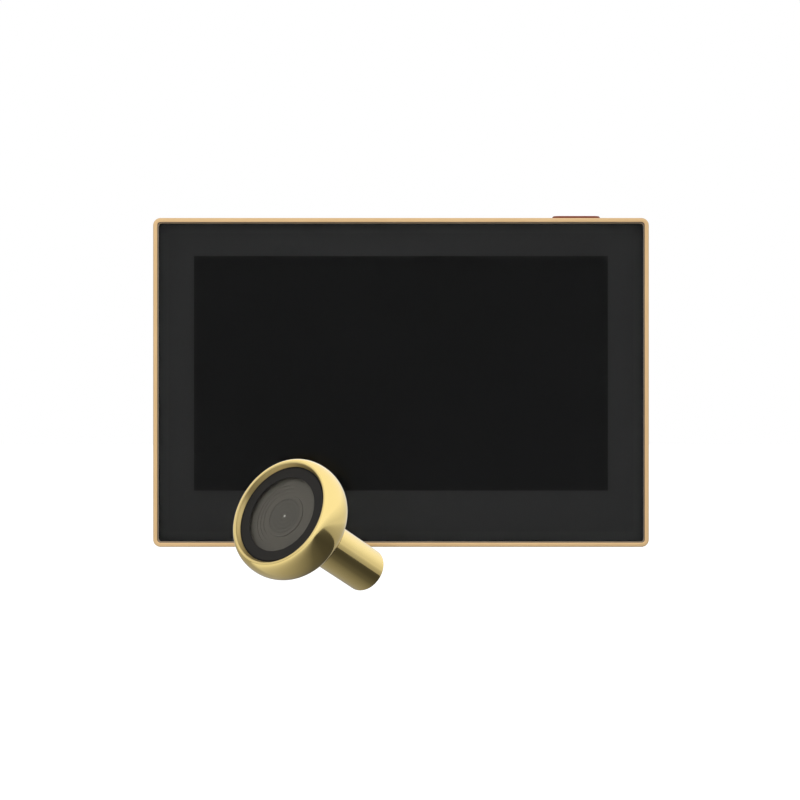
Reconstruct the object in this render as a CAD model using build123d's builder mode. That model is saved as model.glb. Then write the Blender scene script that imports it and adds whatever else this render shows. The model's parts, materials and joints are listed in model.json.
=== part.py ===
from build123d import *
import os
from math import cos, radians, sin

# A peephole door camera. The monitor hangs on a bracket on the inside of the door, whose face is
# the plane Y = 0. The room is on the -Y side. The hollow clamp bolt passes through the door, and the
# camera unit stands apart in front of the monitor. The origin is the middle of the bracket's screw
# holes, on the door's face. +X is right as seen from the room, and +Z is up.

os.makedirs("parts", exist_ok=True)

# Clearances shared by the pieces, in millimetres
overrun = 1.0            # how far a cut runs past the face that it opens
free_gap = 0.3           # between pieces that pass each other
slide_gap = 0.1          # between pieces that guide or stop each other
thread_gap = 0.08        # radial, between a screw and its hole

# Monitor body
body_width = 132.6
body_height = 88.0
body_depth = 17.5
door_gap = 0.5           # between the monitor's back rim and the door
frame_depth = 8.0        # depth of the metal frame, measured from the front

# Metal front frame
frame_lip = 1.3          # width of metal that shows round the glass
frame_corner = 2.0
frame_edge = 0.4
ledge_reach = 1.6        # how far the glass ledge reaches in from the lip
ledge_thick = 1.2
ear_size = 7.0           # corner ears that take the rear cover's screws

# Glass and screen
glass_drop = 0.2         # the glass lies this far behind the frame's front edge
glass_thick = 1.1
glass_gap = 0.15
gasket_thick = 0.3
mask_thick = 0.1         # printed black border on the back of the glass
panel_side_gap = 3.05    # from the frame's ledge to the panel
panel_top_gap = 2.635
panel_bottom_gap = 3.765
panel_thick = 1.2
screen_side_border = 4.91    # from the panel's edge to the lit area, 110.88 by 62.83 on 5 inches
screen_top_border = 4.6
screen_bottom_border = 8.37
panel_corner = 0.8
tray_thick = 1.8
tray_wall = 0.6
tray_corner = 1.2

# Rear cover
cover_inset = 0.3        # the cover is this much smaller than the frame on each side
cover_wall = 1.6
cover_edge = 2.5
skirt_thick = 1.0        # skirt of the cover that reaches into the frame
skirt_reach = 1.6
skirt_root = 1.5
corner_screw_inset = 6.0     # from the body's outer edge to the corner screws
corner_boss_radius = 3.2
corner_bore_depth = 3.0
corner_bore_radius = 2.3

# Door bracket, a folded plate
bracket_side_room = 31.3     # from the bracket's side to the body's side
bracket_top_room = 18.0      # from the bracket's ends to the body's ends
bracket_bottom_room = 14.0
bracket_thick = 1.5
door_screw_inset = 15.0      # from the bracket's sides
door_screw_end_inset = 8.0   # from its top and bottom, on average
door_screw_radius = 2.0
door_screw_sink_radius = 2.9
bracket_window_width = 6.0
bracket_window_height = 16.0
bracket_window_inset = 11.0
rail_stand = 5.0         # the rails' lips stand this far off the door
rail_reach = 3.2
rail_end_inset = 2.0
rail_bend = 0.8          # inside radius of each fold
rail_relief = 2.4
slot_floor_gap = 1.5     # between the rails' lips and the bottom of the cover's slot

# Lock screw and its tab
lock_inset = 13.0        # from the bracket's side
lock_off_door = 3.8
lock_radius = 1.25
lock_head_radius = 2.2
lock_head_height = 2.0
lock_driver_width = 1.5
lock_driver_depth = 1.2
lock_grip = 4.5          # how far the screw reaches into the cover's boss
lock_tab_width = 10.0
lock_tab_gap = 0.6       # between the tab and the bottom of the slot
lock_boss_width = 6.0
lock_boss_height = 5.5

# Hollow clamp bolt
bolt_radius = 4.7
bolt_shoulder_radius = 5.2    # where the bolt turns in the bracket's hole
bolt_bore_radius = 3.25
bolt_reach = 34.0        # how far the bolt reaches into the door
bolt_flange_radius = 8.0
bolt_flange_thick = 2.0
bolt_slot_width = 2.4
bolt_slot_depth = 1.1
bolt_chamfer = 0.6

# Main board and what it carries
board_gap = 0.7
board_thick = 1.2
board_left_gap = 0.5     # from the side of the bracket's slot
board_right_gap = 2.4    # from the cover's walls
board_top_gap = 5.1
board_bottom_gap = 8.1
board_corner = 1.0
board_tab_width = 16.5
board_tab_gap = 0.6      # from the tab to the boss of the corner screw
board_tab_bottom_gap = 1.6
board_notch_width = 6.0   # cut from the board's upper right corner, round a cover boss
board_notch_height = 3.0
board_post_radius = 2.2
board_post_left_inset = 4.0
board_post_right_inset = 9.0
board_post_top_inset = 6.0
board_post_bottom_inset = 4.0
board_screw_radius = 1.0
board_screw_head_radius = 1.9
board_screw_head_height = 1.2
board_screw_grip = 1.7
shield_width = 30.0
shield_height = 26.0
shield_depth = 1.9
shield_wall = 0.25
shield_side_inset = 9.0      # from the board's left edge
shield_top_inset = 16.0
memory_width = 14.0
memory_height = 10.0
memory_depth = 1.0
memory_gap = 12.0        # from the shield to the memory chip
antenna_width = 8.0
antenna_height = 18.0
antenna_thick = 0.4
antenna_inset = 1.0      # from the board's right edge
antenna_z = 4.0

# Power button and its switch
button_inset = 19.1      # from the body's side to the button's middle
button_length = 12.75
button_depth = 3.2
button_rise = 0.8        # the button stands this far above the frame
button_travel = 0.5
button_off_front = 5.2   # from the frame's front edge to the button's middle
button_edge = 0.35
button_flange_reach = 1.2
button_flange_thick = 0.9
stem_width = 4.0
stem_lap = 0.4           # past the button's middle, toward the front
stem_off_board = 0.8
switch_width = 6.0
switch_height = 3.5
switch_depth = 3.3
switch_overhang = 1.2
plunger_width = 1.7
plunger_depth = 1.3
plunger_rise = 0.8
plunger_seat = 0.2

# Sockets
ribbon_socket_width = 20.0
ribbon_socket_height = 5.0
ribbon_socket_depth = 2.2
ribbon_socket_z = -16.0
ribbon_window_width = 23.0
ribbon_window_height = 7.5
ribbon_slot_width = 16.0
ribbon_slot_thick = 0.8
screen_socket_width = 30.0
screen_socket_height = 4.0
screen_socket_depth = 1.2
screen_socket_inset = 4.0    # from the board's lower edge
screen_ribbon_width = 26.0
screen_ribbon_thick = 0.3
screen_ribbon_drop = 1.6
usb_inset = 3.45         # from the side of the board's tab
usb_width = 7.5
usb_depth = 2.6
usb_length = 5.6
usb_wall = 0.3
usb_tongue_width = 3.7
usb_tongue_thick = 0.6
usb_tongue_setback = 0.8
usb_setback = 0.1        # from the cover's inner face to the socket's mouth
usb_port_gap = 0.35
usb_port_corner = 0.8
card_socket_width = 14.5
card_socket_height = 14.0
card_socket_depth = 1.5
card_slot_height = 11.4
card_slot_thick = 0.9
card_wall = 0.25
card_socket_rise = 5.8   # from the lower board post
card_port_gap = 0.4
microphone_gap = 0.95    # from the charging socket
microphone_width = 3.8
microphone_height = 3.0
microphone_depth = 1.1
microphone_hole_radius = 0.6

# Speaker and battery
speaker_side_gap = 2.15      # from the walls on its two sides
speaker_top_gap = 2.8        # from the upper board post
speaker_bottom_gap = 6.0     # from the card socket
speaker_depth = 4.5
speaker_corner_share = 0.25
speaker_rim = 1.6
speaker_cone_depth = 1.4
speaker_cone_taper = 35
speaker_gasket_thick = 0.6
grille_length_share = 0.65
grille_slot_width = 1.1
grille_slot_pitch = 2.4
grille_height_share = 0.6
battery_side_gap = 2.65      # from the walls on its two sides
battery_end_gap = 3.8        # from the bosses of the corner screws
battery_depth = 7.6
battery_corner = 2.5
battery_tape_thick = 0.3
battery_tape_margin = 2.0
battery_cap_height = 3.0
battery_cap_inset = 1.2
battery_socket_width = 8.0
battery_socket_height = 5.0
battery_socket_depth = 3.2
battery_socket_side_inset = 10.0
battery_socket_top_inset = 9.5
battery_socket_wall = 0.7

# Cover screws
cover_screw_radius = 1.0
cover_screw_head_radius = 1.9
cover_screw_head_height = 1.3
cover_screw_grip = 2.6
cross_length = 2.2
cross_width = 0.5
cross_depth = 0.7

# Camera unit: where it stands and how it is turned
camera_x = -29.97
camera_z = -33.34
camera_standoff = 36.0   # from the monitor's front to the middle of the camera's window
camera_turn = 44.3       # degrees between the camera's axis and the monitor's
camera_lean = 38.0       # degrees by which the turned axis drops below level

# Camera head, measured back along its axis from the window's front face
crest_inset = 2.02       # from the head's widest radius in to the crest
crest_height = 1.27      # the crest stands this far in front of the window
crest_round = 0.35
head_radius = 15.82
head_widest = 3.4
head_back = 9.4
head_back_inset = 2.52   # from the widest radius in to the back edge
head_belly_angle = 60    # degrees of the belly's curve, from its widest place to the back
head_shoulder_width = 1.2
head_cavity_depth = 8.0
head_seat_depth = 7.4
head_seat_width = 1.6
gasket_back_thick = 0.45
gasket_back_inset = 0.25

# Window and baffle
window_rim = 1.2         # from the crest in to the window's edge
window_thick = 1.0
window_edge = 0.15
window_seal_width = 0.35
window_seal_drop = 0.08
mask_ring_width = 2.55
baffle_drop = 0.15       # from the mask ring to the baffle's front
baffle_thick = 0.6
baffle_steps = 3
baffle_step_width = 0.9
baffle_step_drop = 0.1

# Lens stack
lens_flange_radius = 5.6
lens_flange_thick = 1.4
lens_flange_drop = 0.15  # below the baffle's front face
lens_tube_radius = 4.2
lens_spigot_radius = 3.2
lens_spigot_length = 0.7
front_lens_radius = 4.7
front_lens_edge = 0.5
front_lens_crown = 0.1
middle_lens_radius = 3.3
middle_lens_edge = 0.6
middle_lens_crown = 0.3
rear_lens_radius = 2.4
rear_lens_edge = 0.5
rear_lens_crown = 0.15
lens_seat_width = 0.5
lens_spacer = 0.5

# Sensor board, fixed on its seat by a threaded ring
sensor_board_gap = 0.65
sensor_board_thick = 0.8
board_ring_width = 1.6
board_ring_thick = 1.0
ring_notch_width = 1.6
holder_size = 10.0
holder_height = 2.2
holder_wall = 1.2
holder_roof = 0.7
sensor_size = 5.2
sensor_thick = 0.7
filter_size = 6.4
filter_thick = 0.3
unit_socket_width = 8.0
unit_socket_height = 3.2
unit_socket_depth = 0.6

# Barrel
barrel_radius = 5.88
barrel_bore_radius = 4.8
barrel_end = 37.6        # measured back from the window's front face
barrel_edge = 0.5
barrel_flange_radius = 7.6
barrel_flange_thick = 0.8
barrel_bore_chamfer = 0.4
barrel_collar_radius = 6.2   # where the barrel passes through the head and the gasket
barrel_thread_start = 10.0
barrel_duct_radius = 4.0     # narrower way for the ribbon, from the head to the thread


# Depths of the monitor's layers, from the front to the door
front_y = -(door_gap + body_depth)
joint_y = front_y + frame_depth
glass_front_y = front_y + glass_drop
glass_back_y = glass_front_y + glass_thick
ledge_front_y = glass_back_y + gasket_thick
ledge_back_y = ledge_front_y + ledge_thick
panel_front_y = glass_back_y + mask_thick
panel_back_y = panel_front_y + panel_thick
tray_back_y = panel_back_y + tray_thick
back_y = -door_gap
back_inner_y = back_y - cover_wall
slot_floor_y = -(rail_stand + slot_floor_gap)
slot_inner_y = slot_floor_y - cover_wall
board_back_y = slot_inner_y - board_gap
board_front_y = board_back_y - board_thick

# Outlines of the monitor that several pieces follow
glass_width = body_width - 2 * (frame_lip + glass_gap)
glass_height = body_height - 2 * (frame_lip + glass_gap)
inner_width = body_width - 2 * frame_lip
inner_height = body_height - 2 * frame_lip
ledge_width = inner_width - 2 * ledge_reach
ledge_height = inner_height - 2 * ledge_reach
cover_width = body_width - 2 * cover_inset
cover_height = body_height - 2 * cover_inset
cavity_width = cover_width - 2 * cover_wall
cavity_height = cover_height - 2 * cover_wall
skirt_width = inner_width - 2 * slide_gap
skirt_height = inner_height - 2 * slide_gap
frame_inner_corner = frame_corner - frame_lip
cover_corner = frame_corner - cover_inset
panel_width = ledge_width - 2 * panel_side_gap
panel_height = ledge_height - panel_top_gap - panel_bottom_gap
panel_z = (panel_bottom_gap - panel_top_gap) / 2
active_width = panel_width - 2 * screen_side_border
active_height = panel_height - screen_top_border - screen_bottom_border
screen_rise = panel_z + (screen_bottom_border - screen_top_border) / 2

# The slot in the rear cover that slides over the bracket's rails
bracket_width = body_width - 2 * bracket_side_room
bracket_top = body_height / 2 - bracket_top_room
bracket_bottom = bracket_bottom_room - body_height / 2
door_screw_width = bracket_width - 2 * door_screw_inset
door_screw_height = bracket_top - bracket_bottom - 2 * door_screw_end_inset
slot_mouth_half = bracket_width / 2 + free_gap
slot_half = bracket_width / 2 + rail_reach + free_gap
slot_mouth_y = -(rail_stand - bracket_thick) + free_gap
slot_top = bracket_top + slide_gap
slot_bottom = -cover_height / 2

# Corner screws
corner_x = body_width / 2 - corner_screw_inset
corner_z = body_height / 2 - corner_screw_inset

# Places of the board and of what lies round it
board_left = board_left_gap - slot_half
board_right = cavity_width / 2 - board_right_gap
board_top = cavity_height / 2 - board_top_gap
board_bottom = board_bottom_gap - cavity_height / 2
board_tab_right = corner_x - corner_boss_radius - board_tab_gap
board_tab_left = board_tab_right - board_tab_width
board_tab_bottom = board_tab_bottom_gap - cavity_height / 2
board_post_left = board_left + board_post_left_inset
board_post_right = board_right - board_post_right_inset
board_post_top = board_top - board_post_top_inset
board_post_bottom = board_bottom + board_post_bottom_inset
board_post_places = [
    (board_post_left, board_post_top),
    (board_post_right, board_post_top),
    (board_post_left, board_post_bottom),
    (board_post_right, board_post_bottom),
]
button_x = body_width / 2 - button_inset
usb_x = board_tab_left + usb_inset + usb_width / 2
microphone_x = usb_x + usb_width / 2 + microphone_gap + microphone_width / 2
lock_x = bracket_width / 2 - lock_inset

# The bays on the two sides of the slot: the speaker's on the right, the battery's on the left
bay_width = cavity_width / 2 - slot_half - cover_wall
bay_x = cavity_width / 2 - bay_width / 2
card_socket_z = board_post_bottom + board_post_radius + card_socket_rise + card_socket_height / 2
speaker_bottom = card_socket_z + card_socket_height / 2 + speaker_bottom_gap
speaker_top = board_post_top - board_post_radius - speaker_top_gap
speaker_z = (speaker_top + speaker_bottom) / 2
speaker_width = bay_width - 2 * speaker_side_gap
speaker_height = speaker_top - speaker_bottom
speaker_corner = speaker_width * speaker_corner_share
battery_width = bay_width - 2 * battery_side_gap
battery_height = 2 * (corner_z - corner_boss_radius - battery_end_gap)

# The camera's own axis and the planes square to it
camera_axis_dir = Vector(
    sin(radians(camera_turn)) * cos(radians(camera_lean)),
    cos(radians(camera_turn)),
    -sin(radians(camera_turn)) * sin(radians(camera_lean)),
)
camera_side_dir = Vector(0, 0, 1).cross(camera_axis_dir).normalized()
camera_centre = Vector(camera_x, front_y - camera_standoff, camera_z)
camera_axis = Axis(camera_centre, camera_axis_dir)
camera_section = Plane(
    origin=camera_centre,
    x_dir=camera_side_dir,
    z_dir=camera_side_dir.cross(camera_axis_dir),
)


def facing(y):
    """Plane parallel to the door at depth y, whose positive side faces the room."""
    return Plane(origin=(0, y, 0), x_dir=(1, 0, 0), z_dir=(0, -1, 0))


def facing_at(x, y, z):
    """The same plane with its origin at a place on it."""
    return Plane(origin=(x, y, z), x_dir=(1, 0, 0), z_dir=(0, -1, 0))


def level_at(x, y, z):
    """Level plane with its origin at a place on it, whose positive side faces up."""
    return Plane(origin=(x, y, z), x_dir=(1, 0, 0), z_dir=(0, 0, 1))


def edge_on(x, y, z):
    """Upright plane with its origin at a place on it, whose positive side faces +X."""
    return Plane(origin=(x, y, z), x_dir=(0, 0, 1), z_dir=(1, 0, 0))


def over_slot(x, z):
    """Whether a post at this place stands on the walls of the bracket's slot."""
    return abs(x) < slot_half + cover_wall and z < slot_top + cover_wall


def across(depth):
    """Plane square to the camera's axis, depth behind the window's front face."""
    return Plane(
        origin=camera_centre + camera_axis_dir * depth,
        x_dir=camera_side_dir,
        z_dir=camera_axis_dir,
    )


# Metal front frame: a ring with a ledge for the glass and an ear in each corner
button_y = front_y + button_off_front
button_slot_length = button_length + 2 * slide_gap
button_slot_depth = button_depth + 2 * slide_gap
ear_front_y = tray_back_y + free_gap
with BuildPart() as front_frame:
    with BuildSketch(facing(joint_y)):
        RectangleRounded(body_width, body_height, frame_corner)
    extrude(amount=frame_depth)
    with BuildSketch(facing(ledge_front_y)):
        RectangleRounded(inner_width, inner_height, frame_inner_corner)
    extrude(amount=ledge_front_y - front_y + overrun, mode=Mode.SUBTRACT)
    with BuildSketch(facing(ledge_back_y)):
        RectangleRounded(ledge_width, ledge_height, frame_inner_corner)
    extrude(amount=ledge_thick + overrun, mode=Mode.SUBTRACT)
    with BuildSketch(facing(joint_y + overrun)):
        RectangleRounded(inner_width, inner_height, frame_inner_corner)
    extrude(amount=joint_y + overrun - ledge_back_y, mode=Mode.SUBTRACT)
    with BuildSketch(facing(joint_y)):
        with GridLocations(inner_width - ear_size, inner_height - ear_size, 2, 2):
            Rectangle(ear_size + frame_lip, ear_size + frame_lip)
        RectangleRounded(
            body_width - frame_lip, body_height - frame_lip, frame_corner, mode=Mode.INTERSECT
        )
    extrude(amount=joint_y - ear_front_y)
    with BuildSketch(facing(joint_y + overrun)):
        with GridLocations(2 * corner_x, 2 * corner_z, 2, 2):
            Circle(cover_screw_radius + thread_gap)
    extrude(amount=joint_y + overrun - ear_front_y + overrun, mode=Mode.SUBTRACT)
    with BuildSketch(level_at(button_x, button_y, inner_height / 2 - overrun)):
        SlotOverall(button_slot_length, button_slot_depth)
    extrude(amount=frame_lip + 2 * overrun, mode=Mode.SUBTRACT)
    front_edges = front_frame.edges().filter_by_position(Axis.Y, front_y, front_y)
    outer_front_edges = front_edges.filter_by(
        lambda e: abs(e.center().X) > inner_width / 2 or abs(e.center().Z) > inner_height / 2
    )
    fillet(outer_front_edges, radius=frame_edge)
front_frame.part.label = "front_frame"
export_step(front_frame.part, "parts/front_frame.step")

# Cover glass
with BuildPart() as cover_glass:
    with BuildSketch(facing(glass_back_y)):
        RectangleRounded(glass_width, glass_height, frame_inner_corner - glass_gap)
    extrude(amount=glass_thick)
    glass_front = cover_glass.faces().sort_by(Axis.Y)[0]
    chamfer(glass_front.edges(), length=glass_gap)
cover_glass.part.label = "cover_glass"
export_step(cover_glass.part, "parts/cover_glass.step")

# Gasket between the glass and the frame's ledge
with BuildPart() as glass_gasket:
    with BuildSketch(facing(ledge_front_y)):
        RectangleRounded(glass_width, glass_height, frame_inner_corner - glass_gap)
        RectangleRounded(ledge_width, ledge_height, frame_inner_corner, mode=Mode.SUBTRACT)
    extrude(amount=gasket_thick)
glass_gasket.part.label = "glass_gasket"
export_step(glass_gasket.part, "parts/glass_gasket.step")

# Black border printed on the back of the glass, open where the screen shows
with BuildPart() as glass_border:
    with BuildSketch(facing(panel_front_y)):
        RectangleRounded(ledge_width - 2 * glass_gap, ledge_height - 2 * glass_gap, frame_inner_corner)
        with Locations((0, screen_rise)):
            Rectangle(active_width, active_height, mode=Mode.SUBTRACT)
    extrude(amount=mask_thick)
glass_border.part.label = "glass_border"
export_step(glass_border.part, "parts/glass_border.step")

# Screen panel: its lit area stands forward into the border's opening
with BuildPart() as screen_panel:
    with BuildSketch(facing_at(0, panel_back_y, panel_z)):
        RectangleRounded(panel_width, panel_height, panel_corner)
    extrude(amount=panel_thick)
    with BuildSketch(facing_at(0, panel_front_y, screen_rise)):
        Rectangle(active_width, active_height)
    extrude(amount=mask_thick)
screen_panel.part.label = "screen_panel"
export_step(screen_panel.part, "parts/screen_panel.step")

# Backlight tray: a shallow pan behind the panel, with a lip round its back
with BuildPart() as backlight_tray:
    with BuildSketch(facing_at(0, tray_back_y, panel_z)):
        RectangleRounded(panel_width, panel_height, tray_corner)
    extrude(amount=tray_thick)
    with BuildSketch(facing_at(0, tray_back_y + overrun, panel_z)):
        RectangleRounded(panel_width - 4 * tray_wall, panel_height - 4 * tray_wall, tray_corner)
    extrude(amount=overrun + tray_wall, mode=Mode.SUBTRACT)
backlight_tray.part.label = "backlight_tray"
export_step(backlight_tray.part, "parts/backlight_tray.step")

# Rear cover: a moulded shell with a T-shaped slot up its back for the bracket's rails
slot_outline = [
    (-slot_mouth_half, back_y + overrun),
    (-slot_mouth_half, slot_mouth_y),
    (-slot_half, slot_mouth_y),
    (-slot_half, slot_floor_y),
    (slot_half, slot_floor_y),
    (slot_half, slot_mouth_y),
    (slot_mouth_half, slot_mouth_y),
    (slot_mouth_half, back_y + overrun),
]
# Inside of the shell, with the room that the slot's own walls take left out
with BuildPart() as cover_cavity:
    with BuildSketch(facing(back_inner_y)):
        RectangleRounded(cavity_width, cavity_height, cover_corner / 2)
    extrude(amount=back_inner_y - joint_y + skirt_reach + overrun)
    with BuildSketch(level_at(0, 0, -cover_height / 2)):
        with Locations((0, (back_y + slot_inner_y) / 2)):
            Rectangle(2 * (slot_half + cover_wall), back_y - slot_inner_y)
    extrude(amount=slot_top + cover_wall + cover_height / 2, mode=Mode.SUBTRACT)

lock_y = -lock_off_door
lock_boss_front_y = -(bracket_thick + free_gap)
grille_slot_count = round(speaker_height * grille_height_share / grille_slot_pitch)
usb_y = board_back_y + usb_depth / 2
card_y = board_back_y + card_socket_depth / 2
with BuildPart() as rear_cover:
    with BuildSketch(facing(back_y)):
        RectangleRounded(cover_width, cover_height, cover_corner)
    extrude(amount=back_y - joint_y)
    back_edges = rear_cover.edges().filter_by_position(Axis.Y, back_y, back_y)
    fillet(back_edges, radius=min(cover_edge, cover_corner))
    with BuildSketch(facing(joint_y + skirt_root)):
        RectangleRounded(skirt_width, skirt_height, frame_inner_corner)
    extrude(amount=skirt_root + skirt_reach)
    add(cover_cavity.part, mode=Mode.SUBTRACT)
    with BuildSketch(facing(joint_y)):
        RectangleRounded(cavity_width - 2 * skirt_root, cavity_height - 2 * skirt_root, frame_inner_corner)
    extrude(amount=skirt_reach + overrun, mode=Mode.SUBTRACT)
    # The slot for the rails, open at the bottom
    with BuildSketch(level_at(0, 0, slot_bottom - overrun)):
        with BuildLine():
            Polyline(*slot_outline, close=True)
        make_face()
    extrude(amount=slot_top - slot_bottom + overrun, mode=Mode.SUBTRACT)
    # Bosses for the corner screws
    with BuildSketch(facing(back_inner_y + cover_wall / 2)):
        with GridLocations(2 * corner_x, 2 * corner_z, 2, 2):
            Circle(corner_boss_radius)
    extrude(amount=back_inner_y + cover_wall / 2 - joint_y)
    with BuildSketch(facing(back_y + overrun)):
        with GridLocations(2 * corner_x, 2 * corner_z, 2, 2):
            Circle(cover_screw_radius + free_gap)
    extrude(amount=back_y + overrun - joint_y + overrun, mode=Mode.SUBTRACT)
    with BuildSketch(facing(back_y + overrun)):
        with GridLocations(2 * corner_x, 2 * corner_z, 2, 2):
            Circle(corner_bore_radius)
    extrude(amount=corner_bore_depth + overrun, mode=Mode.SUBTRACT)
    # Notches in the skirt, for the frame's ears and for the button
    with BuildSketch(facing(joint_y)):
        with GridLocations(inner_width - ear_size, inner_height - ear_size, 2, 2):
            Rectangle(ear_size + frame_lip + 2 * free_gap, ear_size + frame_lip + 2 * free_gap)
        with Locations((button_x, inner_height / 2)):
            Rectangle(button_length + 2 * button_flange_reach + 2 * free_gap, ear_size)
    extrude(amount=skirt_reach + overrun, mode=Mode.SUBTRACT)
    # Posts for the main board
    with BuildSketch(facing(back_inner_y + cover_wall / 2)):
        with Locations([place for place in board_post_places if not over_slot(*place)]):
            Circle(board_post_radius)
    extrude(amount=back_inner_y + cover_wall / 2 - board_back_y)
    with BuildSketch(facing(slot_inner_y + cover_wall / 2)):
        with Locations([place for place in board_post_places if over_slot(*place)]):
            Circle(board_post_radius)
    extrude(amount=slot_inner_y + cover_wall / 2 - board_back_y)
    with BuildSketch(facing(board_back_y + board_screw_grip + slide_gap)):
        with Locations(board_post_places):
            Circle(board_screw_radius + thread_gap)
    extrude(amount=board_screw_grip + slide_gap + overrun, mode=Mode.SUBTRACT)
    # Boss that the lock screw enters from below
    with BuildSketch(level_at(lock_x, 0, bracket_bottom + slide_gap)):
        with Locations((0, (slot_floor_y + lock_boss_front_y) / 2)):
            Rectangle(lock_boss_width, lock_boss_front_y - slot_floor_y)
    extrude(amount=lock_boss_height)
    with BuildSketch(level_at(lock_x, lock_y, bracket_bottom)):
        Circle(lock_radius + thread_gap)
    extrude(amount=lock_grip + free_gap, mode=Mode.SUBTRACT)
    # Window in the slot's floor, over the socket for the camera's ribbon
    with BuildSketch(facing_at(0, slot_floor_y + overrun, ribbon_socket_z)):
        RectangleRounded(ribbon_window_width, ribbon_window_height, cover_corner / 2)
    extrude(amount=cover_wall + 2 * overrun, mode=Mode.SUBTRACT)
    # Speaker slots through the back
    with BuildSketch(facing_at(bay_x, back_y + overrun, speaker_z)):
        with GridLocations(speaker_width, grille_slot_pitch, 1, grille_slot_count):
            SlotOverall(speaker_width * grille_length_share, grille_slot_width)
    extrude(amount=cover_wall + 2 * overrun, mode=Mode.SUBTRACT)
    # Ports for charging, sound and the memory card
    with BuildSketch(level_at(usb_x, usb_y, -cover_height / 2 - overrun)):
        RectangleRounded(usb_width + 2 * usb_port_gap, usb_depth + 2 * usb_port_gap, usb_port_corner)
    extrude(amount=cover_wall + skirt_thick + 2 * overrun, mode=Mode.SUBTRACT)
    with BuildSketch(level_at(microphone_x, usb_y, -cover_height / 2 - overrun)):
        Circle(microphone_hole_radius)
    extrude(amount=cover_wall + skirt_thick + 2 * overrun, mode=Mode.SUBTRACT)
    with BuildSketch(edge_on(cavity_width / 2 - overrun, card_y, card_socket_z)):
        SlotOverall(card_slot_height + 2 * card_port_gap, card_slot_thick + 2 * card_port_gap)
    extrude(amount=cover_wall + 2 * overrun, mode=Mode.SUBTRACT)
rear_cover.part.label = "rear_cover"
export_step(rear_cover.part, "parts/rear_cover.step")


# Screws, all with a cross recess, made on a plane whose positive side faces the driver
def screw(plane, radius, head_radius, head_height, reach):
    """A pan head screw: its head sits on the plane and its shank reaches behind it."""
    with BuildPart() as one_screw:
        with BuildSketch(plane):
            Circle(head_radius)
        extrude(amount=head_height)
        head_rim = one_screw.edges().sort_by(Axis(plane.origin, plane.z_dir))[-1]
        chamfer(head_rim, length=head_height / 3)
        with BuildSketch(plane):
            Circle(radius)
        extrude(amount=-reach)
        with BuildSketch(plane.offset(head_height)):
            Rectangle(cross_length, cross_width)
            Rectangle(cross_width, cross_length)
        extrude(amount=-cross_depth, mode=Mode.SUBTRACT)
    return one_screw.part


def toward_door(x, y, z):
    """Plane parallel to the door, whose positive side faces the door."""
    return Plane(origin=(x, y, z), x_dir=(-1, 0, 0), z_dir=(0, 1, 0))


corner_seat_y = back_y - corner_bore_depth
with BuildPart() as cover_screws:
    for side in (-1, 1):
        for rise in (-1, 1):
            add(screw(
                toward_door(side * corner_x, corner_seat_y, rise * corner_z),
                cover_screw_radius,
                cover_screw_head_radius,
                cover_screw_head_height,
                corner_seat_y - joint_y + cover_screw_grip,
            ))
cover_screws.part.label = "cover_screws"
export_step(cover_screws.part, "parts/cover_screws.step")

with BuildPart() as board_screws:
    for post_x, post_z in board_post_places:
        add(screw(
            facing_at(post_x, board_front_y, post_z),
            board_screw_radius,
            board_screw_head_radius,
            board_screw_head_height,
            board_thick + board_screw_grip,
        ))
board_screws.part.label = "board_screws"
export_step(board_screws.part, "parts/board_screws.step")

# Main board, with a tab that carries the charging socket and holes for its screws
with BuildPart() as main_board:
    with BuildSketch(facing(board_back_y)):
        with Locations(((board_left + board_right) / 2, (board_bottom + board_top) / 2)):
            RectangleRounded(board_right - board_left, board_top - board_bottom, board_corner)
        with Locations(((board_tab_left + board_tab_right) / 2, (board_tab_bottom + board_bottom) / 2)):
            Rectangle(board_tab_right - board_tab_left, board_bottom - board_tab_bottom + 2 * board_corner)
        with Locations(board_post_places):
            Circle(board_screw_radius + free_gap / 2, mode=Mode.SUBTRACT)
        with Locations((board_right, board_top)):
            Rectangle(2 * board_notch_width, 2 * board_notch_height, mode=Mode.SUBTRACT)
    extrude(amount=board_thick)
main_board.part.label = "main_board"
export_step(main_board.part, "parts/main_board.step")

# Processor shield, a drawn can
shield_x = board_left + shield_side_inset + shield_width / 2
shield_z = board_top - shield_top_inset - shield_height / 2
with BuildPart() as processor_shield:
    with BuildSketch(facing_at(shield_x, board_front_y, shield_z)):
        RectangleRounded(shield_width, shield_height, board_corner)
    extrude(amount=shield_depth)
    with BuildSketch(facing_at(shield_x, board_front_y, shield_z)):
        Rectangle(shield_width - 2 * shield_wall, shield_height - 2 * shield_wall)
    extrude(amount=shield_depth - shield_wall, mode=Mode.SUBTRACT)
processor_shield.part.label = "processor_shield"
export_step(processor_shield.part, "parts/processor_shield.step")

# Memory chip beside the shield
memory_x = shield_x + shield_width / 2 + memory_gap + memory_width / 2
with BuildPart() as memory_chip:
    with BuildSketch(facing_at(memory_x, board_front_y, shield_z)):
        Rectangle(memory_width, memory_height)
    extrude(amount=memory_depth)
memory_chip.part.label = "memory_chip"
export_step(memory_chip.part, "parts/memory_chip.step")

# Wireless antenna, a thin folded strip on the board's right side
antenna_x = board_right - antenna_inset - antenna_width / 2
with BuildPart() as antenna:
    with BuildSketch(facing_at(antenna_x, board_front_y, antenna_z)):
        Rectangle(antenna_width, antenna_height)
        with GridLocations(antenna_width, antenna_height / 3, 1, 3):
            with Locations((-antenna_width / 8, 0)):
                Rectangle(antenna_width * 3 / 4, antenna_height / 9, mode=Mode.SUBTRACT)
    extrude(amount=antenna_thick)
antenna.part.label = "antenna"
export_step(antenna.part, "parts/antenna.step")

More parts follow.
